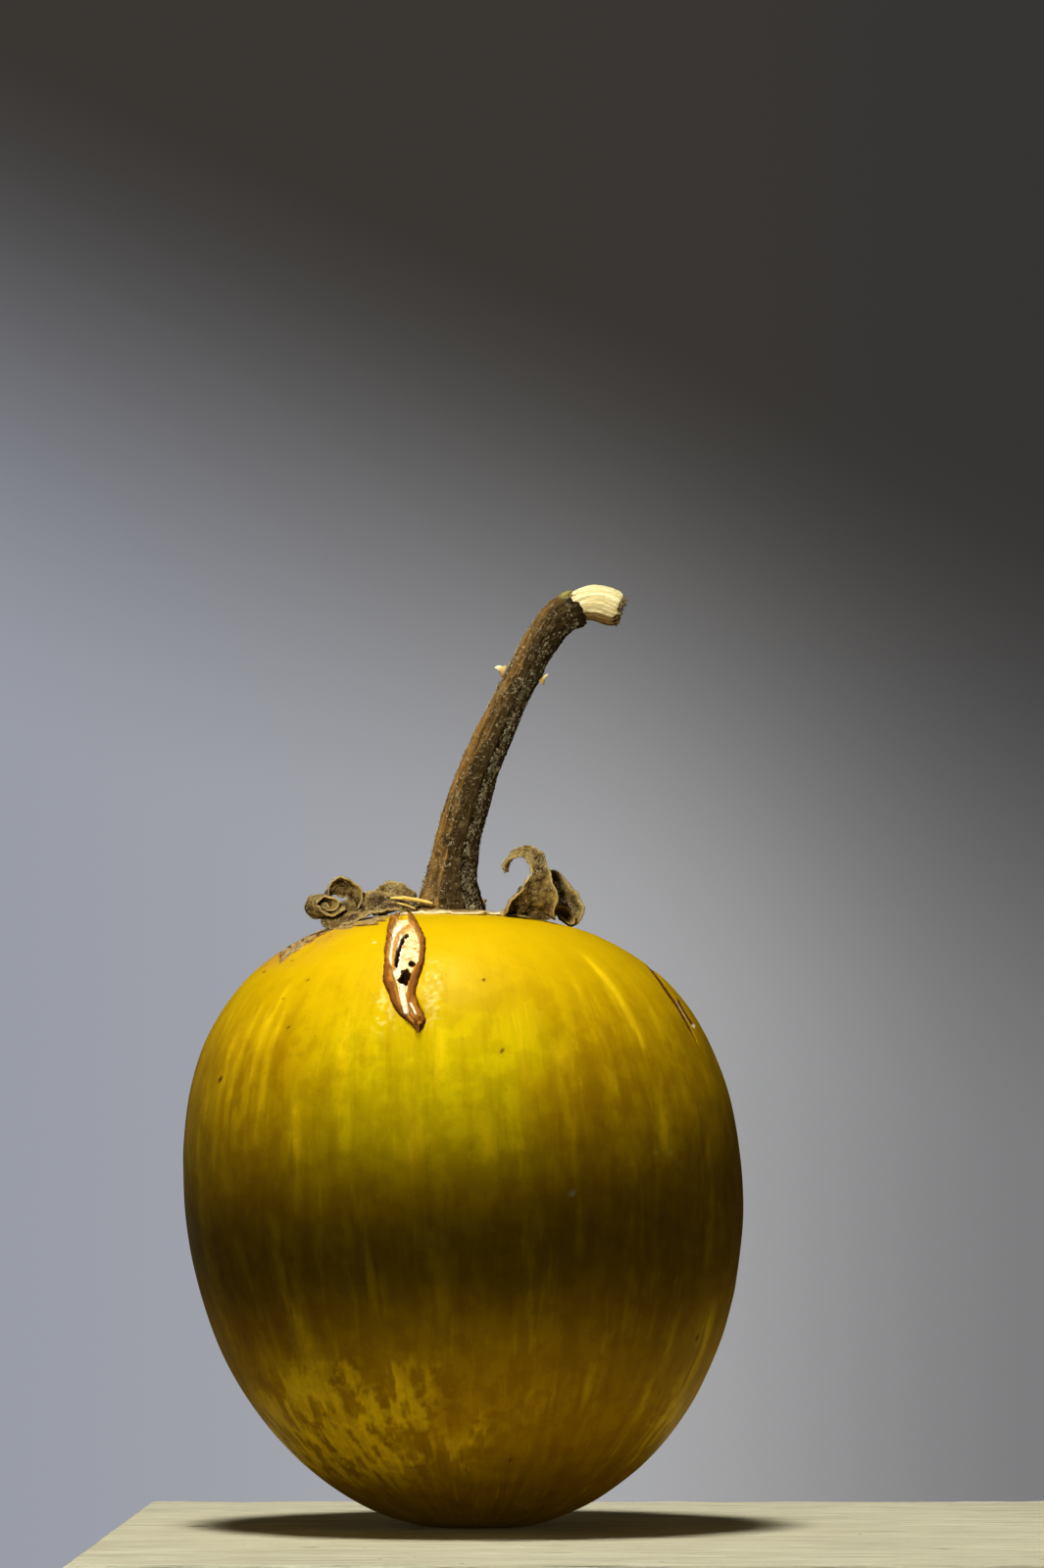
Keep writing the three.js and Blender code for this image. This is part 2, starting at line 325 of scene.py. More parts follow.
def skin_rings(azimuths, lengths):
    """The bare skin: at each length along the profile a ring of radius times swell, on the leaning axis."""
    radius = np.interp(lengths, PROFILE_LENGTHS, PROFILE_RADII)[:, None]
    height = np.interp(lengths, PROFILE_LENGTHS, PROFILE_HEIGHTS)[:, None]
    reach = radius * swell(azimuths)
    x = axis_shift(height) + reach * np.cos(azimuths)
    return np.stack([x, reach * np.sin(azimuths), np.broadcast_to(height, x.shape)], axis=-1)


def radius_at(height):
    """The profile's radius at a height."""
    return np.interp(height, PROFILE_HEIGHTS[1:-1], PROFILE_RADII[1:-1])


def on_front_plane(points):
    """Where points fall on the plane y = 0, along straight lines from the eye."""
    t = EYE[1] / (EYE[1] - points[..., 1])
    return EYE[0] + (points[..., 0] - EYE[0]) * t, EYE[2] + (points[..., 2] - EYE[2]) * t


def front_skin(x, z):
    """The skin's points on the lines from the eye through the front plane's points (x, z).

    Each round moves the depth y to that of the skin beside the line: -sqrt((r swell)^2 - (x - shift)^2).
    """
    depth = np.full(np.shape(x), -FRUIT_RADIUS / 2)
    for _ in range(30):
        t = (depth - EYE[1]) / -EYE[1]
        across = EYE[0] + (x - EYE[0]) * t
        height = np.clip(EYE[2] + (z - EYE[2]) * t, 0, FRUIT_HEIGHT - 0.01)
        sideways = across - axis_shift(height)
        reach = radius_at(height) * swell(np.arctan2(depth, sideways))
        depth = -np.sqrt(np.maximum(reach**2 - sideways**2, 0))
    return np.stack([across, depth, height], axis=-1)


def skin_normal(points):
    """Outward normals of the skin: the slope of its profile, turned to each point's azimuth."""
    sideways = points[..., 0] - axis_shift(points[..., 2])
    azimuth = np.arctan2(points[..., 1], sideways)
    step = 0.05
    slope = (radius_at(points[..., 2] - step) - radius_at(points[..., 2] + step)) / (2 * step)
    return unit(np.stack([np.cos(azimuth), np.sin(azimuth), slope], axis=-1))


# Fruit and its marks ---------------------------------------------------------------------------------

# The healed growth crack on the front plane: height, then its outer left, inner left, inner right and
# outer right edges.
SCAR_ROWS = np.array([
    [71.1, -6.6, -6.5, -6.3, -6.1], [70.6, -7.6, -7.1, -6.2, -5.6], [69.95, -8.3, -7.6, -6.1, -5.2],
    [69.2, -8.5, -8.0, -5.45, -4.8], [67.9, -8.65, -8.1, -4.85, -4.15], [66.6, -8.95, -8.3, -4.8, -4.15],
    [65.1, -8.85, -8.25, -4.95, -4.3], [63.8, -8.95, -7.95, -5.6, -4.7], [63.0, -9.05, -7.75, -6.0, -5.05],
    [62.2, -8.75, -7.45, -6.2, -5.25], [61.2, -8.3, -7.1, -6.3, -5.3], [60.0, -7.8, -6.8, -6.3, -4.8],
    [59.1, -7.2, -6.35, -6.2, -4.35], [58.4, -6.3, -5.5, -5.35, -4.2], [57.8, -5.55, -5.1, -4.9, -4.3],
    [57.2, -5.1, -4.95, -4.85, -4.6],
])
SCAR_RIDGE = [(-5.9, 69.4), (-6.75, 69.0), (-7.4, 68.4), (-7.7, 67.5), (-7.8, 66.5), (-7.9, 64.5)]
SCAR_SLIT = [(-6.35, 68.6), (-6.85, 68.0), (-7.2, 67.1), (-7.4, 66.1), (-7.6, 64.9)]
SCAR_PITH = [(-6.85, 62.4), (-6.8, 61.2), (-6.55, 60.2), (-6.3, 59.1)]
SCAR_SECOND_PITH = [(-5.75, 60.0), (-5.45, 59.4), (-5.2, 58.8)]
SCAR_HOLE, SCAR_HOLE_RADIUS = (-6.7, 63.45), 0.74
SCAR_SMALL_HOLE, SCAR_SMALL_RADIUS = (-5.75, 65.15), 0.32
SCAR_KNOB = (-4.75, 57.95)
SCAR_DEPTH = 2.5
FLAKE_COUNT = 46
CRACK = [(21.2, 65.5), (22.0, 64.6), (22.9, 63.4), (24.4, 61.2), (25.3, 59.9), (26.6, 57.4), (27.3, 56.0)]
SIDE_CRACK = [(25.3, 60.6), (26.1, 59.2), (26.9, 57.8)]
SCRATCH = [(22.4, 43.0), (23.6, 43.3), (24.8, 42.7), (25.3, 41.4)]
SHOULDER_LINE = [(-21, 65.0), (-19.4, 66.3), (-18, 67.2), (-13.7, 69.5), (-10.4, 70.2), (-9.4, 71.2)]

# Light streaks: azimuth at the low and the high end, low and high height, width, strength.
STREAKS = [
    (-42, -44, 42, 66, 0.9, 0.9), (-66, -66.5, 50, 56, 1.1, 0.9), (-65.5, -66, 31, 50, 0.5, 0.45),
    (-51, -51, 22, 34, 0.8, 0.7), (-60, -59.5, 13, 18.5, 1.0, 0.8), (-128, -127, 36, 50, 0.9, 0.8),
    (-122, -121.5, 31, 41, 0.8, 0.6), (-109, -115, 24, 41, 1.5, 0.75), (-129, -134, 13, 35, 1.2, 0.9),
    (-100, -100, 39, 48, 0.8, 0.6), (-84.6, -84.6, 41, 48, 0.7, 0.55), (-27, -27, 30, 46, 0.7, 0.6),
    (-24, -20, 8, 26, 1.6, 1.0), (-33, -33, 48, 62, 0.6, 0.5), (-138, -137, 44, 60, 0.6, 0.6),
    (-143, -142, 42, 62, 0.8, 0.7), (-149, -148, 45, 60, 0.6, 0.6), (-154, -153, 40, 58, 0.7, 0.6),
    (-117, -117, 47, 60, 0.5, 0.5), (-94, -94, 50, 58, 0.5, 0.45), (-75, -76, 44, 60, 0.5, 0.4),
    (-54, -55, 45, 64, 0.6, 0.5), (-142, -146, 16, 34, 1.0, 0.7), (-37, -36, 12, 28, 0.9, 0.7),
    (-80, -80, 20, 31, 0.8, 0.5), (-95, -97, 22, 34, 0.8, 0.55), (-162, -160, 20, 52, 0.9, 0.6),
]
DOTS = [  # on the front plane: x, z, radius
    (-21.0, 65.8, 0.16), (-22.9, 64.0, 0.14), (-19.95, 66.9, 0.14), (-21.4, 66.7, 0.12),
    (-17.8, 63.1, 0.14), (-20.1, 57.5, 0.15), (-19.7, 65.4, 0.12), (-20.6, 60.9, 0.12),
    (-27.9, 51.5, 0.24), (2.6, 63.1, 0.2), (4.9, 54.8, 0.24), (5.7, 7.5, 0.2), (27.3, 21.6, 0.22),
]
PALE_DOTS = [(-10.06, 67.4, 0.1), (12.9, 38.4, 0.2), (27.0, 57.7, 0.16)]

LIP_BROWN = (0.25, 0.11, 0.035)
LIP_ORANGE = (0.5, 0.25, 0.05)
FLESH_CREAM = (0.95, 0.83, 0.5)
PITH_WHITE = (0.92, 0.84, 0.66)
CORK_TAN = (0.5, 0.38, 0.2)
CORK_GREY = (0.42, 0.3, 0.14)
DARK_BROWN = (0.014, 0.007, 0.004)
# Pale yellow of the painted highlight on the puckered skin beside the healed crack.
PAINTED_SHEEN_YELLOW = (0.98, 0.9, 0.5)
BLUSH = (0.5, 0.25, 0.12)
BLUSH_DOT = (0.3, 0.06, 0.03)
CRACK_BROWN = (0.12, 0.035, 0.03)
SCRATCH_TAN = (0.75, 0.62, 0.2)
DOT_BROWN = (0.1, 0.01, 0.008)
CROWN_STRAW = (0.8, 0.7, 0.4)
FOOT_BROWN = (0.16, 0.1, 0.05)
FLESH_SHADE = (0.42, 0.27, 0.11)
LIP_EDGE = (0.12, 0.045, 0.016)


def scar_middle_and_half(z):
    """Middle and half width of the healed crack's outer edge at heights on the front plane."""
    rows = SCAR_ROWS[::-1]
    left = np.interp(z, rows[:, 0], rows[:, 1])
    right = np.interp(z, rows[:, 0], rows[:, 4])
    inside = ramp(57.0, 57.5, z) * (1 - ramp(70.1, 70.5, z))
    return (left + right) / 2, np.maximum((right - left) / 2, 0.05) * inside


def cork_cover(azimuth, z, noise):
    """Where cork covers the left shoulder: a wedge from azimuth -124 back to about -192.

    Its low edge slopes with the azimuth and is broken by noise.
    """
    inside = ramp(-122, -127, azimuth + 2 * noise) * ramp(-200, -184, azimuth + 10 * noise)
    low = 69.2 + 0.03 * (azimuth + 125) + 0.9 * noise
    return inside * ramp(low - 0.35, low + 0.35, z)


def cork_front(x, z, azimuth, noise):
    """The cork's front border: a broken line on the front plane that slopes down along the left shoulder.

    The line rises again from azimuth -156 back, and the cork frays out between -168 and -186.
    """
    low = np.interp(x, *zip(*SHOULDER_LINE)) + 0.4 * noise + 4.5 * ramp(-156, -184, azimuth + 6 * noise)
    inside = ramp(-186, -168, azimuth + 12 * noise) * ramp(-84, -86, azimuth) * ramp(-21.5, -20.5, x)
    return ramp(low - 0.15, low + 0.15, z) * ramp(-9.3, -10.1, x + 0.5 * noise) * inside


def skin_places(settings):
    """The bare skin's grid of points, with what its marks and paint ask about each point.

    x and z are on the front plane, front is 1 on the half that faces -Y, and reach is the distance from
    the axis. azimuth runs from -270 to 90 degrees, so that it has no break on the left. grain is the
    place on the skin as if it were rolled out straight, a cylinder as long as the profile.
    """
    degrees = uneven(-180, 180, settings.sides + 1, [(-104, 7, 3.0), (-90, 95, 1.1), (-22, 7, 2.2)])[:-1]
    azimuths = np.radians(degrees)
    top_marks = np.interp(64, PROFILE_HEIGHTS, PROFILE_LENGTHS)
    lengths = uneven(0.4, PROFILE_LENGTHS[-1] - 0.4, settings.rings, [(top_marks, 11, 1.6)])
    rings = skin_rings(azimuths, lengths)
    x, z = on_front_plane(rings)
    height = rings[..., 2]
    azimuth = np.broadcast_to(degrees, height.shape)
    grain = (FRUIT_RADIUS * np.cos(azimuths), FRUIT_RADIUS * np.sin(azimuths), lengths[:, None])
    return SimpleNamespace(
        rings=rings, x=x, z=z, height=height, front=ramp(4, -4, rings[..., 1]),
        azimuth=np.where(azimuth > 90, azimuth - 360, azimuth),
        reach=np.interp(lengths, PROFILE_LENGTHS, PROFILE_RADII)[:, None] + 0 * height,
        grain=np.stack([axis + 0 * height for axis in grain], axis=-1),
        coarse=layered_noise(rings, 9, 11), fine=layered_noise(rings, 1.6, 21))


def skin_marks(at):
    """How much of each mark there is at each point of the skin, from 0 to 1."""
    middle, half = scar_middle_and_half(at.z)
    beside = np.abs(at.x - middle)
    crack_off, crack_share = line_distance(at.x, at.z, CRACK)
    side_off, _ = line_distance(at.x, at.z, SIDE_CRACK)
    scratch_off, _ = line_distance(at.x, at.z, SCRATCH)
    crack_width = 0.13 * np.sin(math.pi * np.clip(crack_share * 0.9 + 0.07, 0, 1)) ** 0.5
    right_pucker = at.front * bell(at.z, 61.5, 3.6) * bell(at.x, -3.3, 1.1)
    left_pucker = at.front * bell(at.z, 59.2, 2.6) * bell(at.x, -9.0, 1.2)
    cork = np.maximum(
        cork_cover(at.azimuth, at.height, at.fine), cork_front(at.x, at.z, at.azimuth, at.fine))
    crazing = layered_noise(at.rings * (0.45, 0.45, 1.6), 1.3, 41, 2)
    return SimpleNamespace(
        hollow=at.front * ramp(1.02, 0.8, beside / np.maximum(half, 0.05)) * (half > 0.06),
        pucker=right_pucker + left_pucker,
        crack=at.front * ramp(crack_width * 2.0, crack_width * 0.6, crack_off),
        side_crack=at.front * ramp(0.2, 0.06, side_off),
        crack_core=at.front * ramp(0.16, 0.06, np.abs(crack_off - 0.17)) * ramp(0.3, 0.1, side_off),
        scratch=at.front * ramp(0.2, 0.05, scratch_off),
        cork=cork, fissures=cork * ramp(0.08, 0.0, np.abs(crazing)),
        foot=ramp(3.2, 1.2, at.reach) * (at.height < 1))


def streaks_and_mottle(at):
    """The share of light streaks and net, and where the net-like mottle lies, both from 0 to 1.

    A streak is a bell across its course, faded at its ends and broken by noise drawn out along the skin.
    """
    ragged = layered_noise(at.grain * (1, 1, 0.16), 0.9, 51)
    blotch = layered_noise(at.grain * (1, 1, 0.45), 1.7, 61)
    seen_azimuth = -np.degrees(np.arccos(np.clip((at.x - axis_shift(at.z)) / radius_at(at.z), -1, 1)))
    streak = np.zeros_like(at.height)
    for low_azimuth, high_azimuth, low, high, width, strength in STREAKS:
        course = np.interp(at.z, (low, high), (low_azimuth, high_azimuth))
        off = np.radians(seen_azimuth - course) * at.reach
        ends = ramp(low - 1.5, low + 2.5, at.z) * ramp(high + 1.5, high - 2.5, at.z)
        line = 0.85 * strength * ends * np.exp(-((off / (1.15 * width)) ** 2))
        streak = np.maximum(streak, line * ramp(-0.7, 0.35, ragged + 0.6 * blotch) * at.front)
    front_mottle = bell(at.x, -13, 10.5) * bell(at.z, 12.5, 7) * at.front
    ring_of_mottle = 0.55 * bell(at.height, 12, 5) * ramp(-0.2, 0.5, layered_noise(at.grain, 12, 71))
    mottled = np.maximum(front_mottle, ring_of_mottle)
    net = ramp(-0.02, 0.24, blotch + 0.4 * at.fine + 0.5 * mottled - 0.3)
    return np.maximum(streak, mottled * net), mottled


def skin_tint(at, marks, streaks, settings):
    """The skin's colours: its ground, darker towards the foot as painted shade, then the streaks, then each
    mark over what lies below it, a painted highlight among them.
    """
    green, amber, yellow, light = (np.array(getattr(settings, name)) for name in (
        "green_yellow", "amber", "bright_yellow", "streak_yellow"))
    # Partly painted light: the skin's own hue runs from green-yellow on the middle of the front to amber on
    # the sides and below, and, as seen from the eye, the middle is also painted lighter as light and the
    # sides darker as shade.
    sides = ramp(8, 22, np.abs(at.x + 4) + 4 * at.coarse) * at.front + (1 - at.front)
    amber_share = ramp(46, 12, at.z) * 0.75 + 0.5 * sides * ramp(68, 50, at.z) + 0.14 * at.coarse
    ground = blend(yellow, green, bell(at.z, 50, 9) * (1 - sides) + 0.12 * at.coarse)
    # Painted shade: the ground darkens towards the foot, below 13 mm, as the shade where the fruit meets the
    # board.
    ground = blend(ground, amber, amber_share) * (1 - 0.45 * ramp(13, 2, at.height))[..., None]
    # Painted highlight: broken pale yellow flecks over the puckered skin beside the healed crack.
    painted_sheen = np.clip(marks.pucker, 0, 1) * ramp(-0.1, 0.7, layered_noise(at.rings, 0.5, 31, 2))
    blush = bell(at.azimuth, -158, 22) * bell(at.height, 66.5, 2.6) * ramp(-1.2, 0.4, at.coarse)
    paints = [
        (PAINTED_SHEEN_YELLOW, 0.38 * at.front * painted_sheen),
        (light, streaks),
        (BLUSH, 0.45 * blush),
        (BLUSH_DOT, blush * ramp(0.62, 0.8, lattice_noise(at.rings, 0.45, 81))),
        (blend(np.array(CORK_TAN), CORK_GREY, 0.5 + 0.5 * at.fine), marks.cork),
        (LIP_BROWN, 0.8 * ramp(0.25, 0.5, marks.cork) * ramp(0.85, 0.6, marks.cork)),
        (DARK_BROWN, ramp(0.3, 0.8, marks.fissures)),
        (CRACK_BROWN, np.maximum(marks.crack, 0.9 * marks.side_crack)),
        (PITH_WHITE, 0.5 * marks.crack_core),
        (SCRATCH_TAN, 0.5 * marks.scratch),
    ]
    for dots, dot_tint, outer, inner in ((DOTS, DOT_BROWN, 1.1, 0.4), (PALE_DOTS, PITH_WHITE, 1.6, 0.8)):
        for x_dot, z_dot, radius in dots:
            off = np.hypot(at.x - x_dot, at.z - z_dot)
            paints.append((dot_tint, at.front * ramp(radius * outer, radius * inner, off)))
    paints += [
        (CROWN_STRAW, 0.6 * ramp(9.5, 7.0, at.reach) * (at.height > 60)),
        (FOOT_BROWN, marks.foot),
        (LIP_BROWN, marks.hollow),
    ]
    return painted(ground, paints)


def fruit_body(settings):
    """The fruit: the bare skin, moved along its normals by its marks, with the colours of each.

    Moves, in millimetres: a hollow under the healed crack, a pucker beside it, the thin cracks' grooves,
    raised cork with fissures, faint waves of lattice noise, and a dimple under the foot.
    """
    at = skin_places(settings)
    marks = skin_marks(at)
    streaks, mottled = streaks_and_mottle(at)
    move = (
        0.1 * at.coarse - 2.2 * marks.hollow + 0.12 * marks.pucker * (1 + at.fine) - 0.22 * marks.crack
        - 0.12 * marks.side_crack + marks.cork * (0.12 + 0.1 * at.fine) - 0.25 * marks.fissures
        - 0.5 * marks.foot
    )
    points = at.rings + ring_normals(at.rings) * move[..., None]
    points[..., 2] = np.clip(points[..., 2], 0, FRUIT_HEIGHT)
    return skinned(points, {
        "tint": skin_tint(at, marks, streaks, settings), "grain": at.grain, "mottled": mottled,
        "dry": np.clip(marks.cork + marks.hollow + marks.foot + marks.crack, 0, 1),
        "streaky": 0.1 + 0.9 * ramp(69, 52, at.height),
    })


def scar_body():
    """The healed growth crack: raised lips round a sunken strip of cream flesh.

    A grid of heights down and shares across the outline is laid on the skin and moved along its normals:
    raised lips, a sunk middle with granular noise, a ridge with a slit beside it, two holes, two smooth
    strips of pith and a ring-shaped knob at the low end. The holes and the slit are painted near black as
    the shade inside them. A second sheet beneath closes it.
    """
    down = np.linspace(SCAR_ROWS[0, 0] - 0.05, SCAR_ROWS[-1, 0] - 0.25, 240)
    across = np.linspace(-1.22, 1.22, 84)
    rows = SCAR_ROWS[::-1]
    outer_left, inner_left, inner_right, outer_right = (
        np.interp(down, rows[:, 0], rows[:, column])[:, None] for column in (1, 2, 3, 4))
    middle = (outer_left + outer_right) / 2
    half = (outer_right - outer_left) / 2 + 0.12
    x = middle + half * across
    z = np.broadcast_to(down[:, None], x.shape)
    skin = front_skin(x, z)
    normals = skin_normal(skin)
    coarse = layered_noise(skin, 1.1, 301)
    grains = layered_noise(skin, 0.42, 311, 2)
    x_bent = x + 0.12 * coarse
    left_lip = (x_bent - outer_left) / (inner_left - outer_left)
    right_lip = (outer_right - x_bent) / (outer_right - inner_right)
    lip_place = np.minimum(left_lip, right_lip)
    flesh = ramp(0.92, 1.12, lip_place)
    lip = ramp(-0.25, 0.35, lip_place) * (1 - flesh)
    outside = ramp(0.1, -0.35, lip_place)
    ridge_off, slit_off, pith_off, second_off = (
        line_distance(x, z, line)[0] for line in (SCAR_RIDGE, SCAR_SLIT, SCAR_PITH, SCAR_SECOND_PITH))
    ridge = ramp(0.36, 0.14, ridge_off)
    slit = ramp(0.17, 0.07, slit_off + 0.08 * grains)
    pith = np.clip(ramp(0.42, 0.24, pith_off) + ramp(0.2, 0.1, second_off), 0, 1)
    hole_size = SCAR_HOLE_RADIUS * (1 + 0.35 * coarse + 0.15 * grains)
    hole_off = np.hypot((x - SCAR_HOLE[0]) * 1.05, z - SCAR_HOLE[1]) - hole_size
    small_off = np.hypot(x - SCAR_SMALL_HOLE[0], (z - SCAR_SMALL_HOLE[1]) * 1.1) - SCAR_SMALL_RADIUS
    hole = np.maximum(ramp(0.05, -0.2, hole_off), 0.6 * ramp(0.05, -0.1, small_off))
    # Painted shade: the holes and the slit are painted near black where they sink, as the shade inside them.
    painted_recess_shade = np.maximum(ramp(0.26, 0.12, hole_off), ramp(0.2, 0.08, small_off))
    painted_recess_shade = np.maximum(painted_recess_shade, ramp(0.26, 0.14, slit_off + 0.08 * grains) * flesh)
    knob_off = np.hypot((x - SCAR_KNOB[0]) * 1.25, z - SCAR_KNOB[1])
    knob = ramp(0.85, 0.6, knob_off) * ramp(0.15, 0.45, knob_off)
    height = (
        0.42 * lip * (1 + 0.25 * coarse) - flesh * (0.3 - 0.13 * grains - 0.1 * coarse) + 0.3 * ridge * flesh
        - 0.6 * slit * flesh + 0.28 * pith - 1.2 * hole + knob * (0.3 + 0.1 * grains) - 0.55 * outside
    )
    top = skin + normals * height[..., None]
    beneath = skin - normals * SCAR_DEPTH

    lip_colour = blend(np.array(LIP_BROWN), LIP_ORANGE, ramp(0.6, 1.0, lip_place + 0.3 * coarse))
    low_right = ramp(61.5, 60, z) * ramp(-6.2, -5.6, x)
    lip_colour = blend(lip_colour, LIP_ORANGE, 0.7 * low_right)
    tint = painted(lip_colour, [
        (blend(np.array(FLESH_CREAM), FLESH_SHADE, 0.26 + 0.7 * grains), flesh),
        (PITH_WHITE, flesh * ramp(0.5, 0.2, np.abs(ridge_off - 0.5)) * (x < -6.9)),
        (LIP_ORANGE, 0.85 * ridge * flesh),
        (PITH_WHITE, pith),
        (LIP_BROWN, 0.7 * knob),
        (LIP_EDGE, 0.75 * ramp(0.3, -0.1, lip_place) * (1 - flesh)),
        (DARK_BROWN, painted_recess_shade),
    ])
    rings = np.concatenate([top, beneath[:, ::-1]], axis=1)
    return skinned(rings, {"tint": np.concatenate([tint, tint[:, ::-1]], axis=1)})


def cork_flakes_body():
    """Thin cork scales on the left shoulder, each a bent closed plate half lifted off the skin."""
    draws = np.random.default_rng(401)
    bodies = []
    around = np.linspace(0, 2 * math.pi, 9)[:-1]
    for _ in range(FLAKE_COUNT):
        azimuth = math.radians(draws.uniform(-178, -128))
        height = draws.uniform(69.0, 71.0) + 0.5 * math.sin(azimuth * 3)
        centre = skin_rings(np.array([azimuth]), np.interp([height], PROFILE_HEIGHTS, PROFILE_LENGTHS))[0, 0]
        normal = skin_normal(centre)
        side = unit(np.cross([0, 0, 1.0], normal))
        up = np.cross(normal, side)
        long, short = draws.uniform(0.5, 1.3), draws.uniform(0.2, 0.45)
        rough = 1 + 0.3 * draws.uniform(-1, 1, len(around))
        sideways = (long * np.cos(around) * rough)[:, None] * side
        upwards = (short * np.sin(around) * rough)[:, None] * up
        lift = (0.1 + 0.14 * np.abs(np.sin(around)) * draws.uniform(0.3, 1))[:, None] * normal
        edge = centre + sideways + upwards + lift
        middle = centre + 0.18 * normal
        spread_out = edge - middle
        bodies.append(skinned(np.stack([
            middle + 0.1 * spread_out, edge, edge - 0.1 * normal, centre + 0.3 * spread_out])))
    return joined(bodies)


# Stalk -----------------------------------------------------------------------------------------------

STALK_COURSE = np.array([  # x, y, z of the stalk's middle line
    [-1.4, 0, 70.9], [-1.35, 0, 73.0], [-1.1, 0, 75.6], [-0.1, -0.3, 80.6], [1.25, -0.6, 85.3],
    [2.8, -0.8, 89.5], [4.95, -0.7, 94.2], [7.05, -0.4, 98.6], [9.2, 0, 102.6], [11.2, 0.3, 105.3],
    [13.4, 0.6, 106.6], [15.9, 0.7, 107.1], [18.9, 0.8, 106.1],
])
STALK_RADII = [  # distance along the stalk, radius
    (0, 4.0), (1.2, 3.72), (2.6, 3.33), (4.2, 2.95), (6.2, 2.66), (10, 2.55), (14.4, 2.4), (19.7, 2.17),
    (25.2, 1.98), (32, 1.92), (37, 2.05), (40.4, 2.3),
]
WOOD_RADII = [(0, 1.75), (1.0, 2.0), (2.4, 2.3), (3.9, 2.42), (5.4, 2.3), (6.6, 1.85)]
BARK_LENGTH = 39.9
PRICKLES = [  # foot, tip, radius
    ("prickle_left", (4.8, -0.5, 99.2), (3.85, -0.62, 99.55), 0.5),
    ("prickle_right", (9.45, -0.5, 98.0), (10.2, -0.6, 98.8), 0.3),
]


def measured_course(rows, steps=600):
    """A smooth course through rows, measured: distances along it and its points."""
    points = through(rows, np.linspace(0, 1, steps))
    distances = np.concatenate([[0], np.cumsum(np.linalg.norm(np.diff(points[:, :3], axis=0), axis=1))])
    return distances, points


STALK_DISTANCES, STALK_POINTS = measured_course(STALK_COURSE)
ALONG_STEP = 0.6  # how far ahead and behind the stalk's way is taken


def on_stalk(distance, theta, radius):
    """Points at distances along the stalk: its middle line plus the radius, turned by theta.

    Sideways is Y x along and upright is along x sideways, so theta 0 is the right or lower side, -90
    degrees the front and 180 degrees the left or upper side.
    """
    middle, ahead, behind = (
        np.stack([np.interp(distance + step, STALK_DISTANCES, line) for line in STALK_POINTS.T], axis=-1)
        for step in (0, ALONG_STEP, -ALONG_STEP))
    along = unit(ahead - behind)
    sideways = unit(np.cross([0.0, 1.0, 0.0], along))
    upright = np.cross(along, sideways)
    outward = np.cos(theta)[..., None] * sideways + np.sin(theta)[..., None] * upright
    return middle + radius[..., None] * outward, outward, along


def curve_values(pairs, places):
    """A smooth reading of a list of (place, value) pairs: straight lines blurred over three close places."""
    listed = np.array(pairs, float)
    reach = 0.35
    return sum(np.interp(places + shift, listed[:, 0], listed[:, 1]) for shift in (-reach, 0, reach)) / 3


def turned(angle):
    """The same angle from -pi to pi."""
    return np.angle(np.exp(1j * angle))


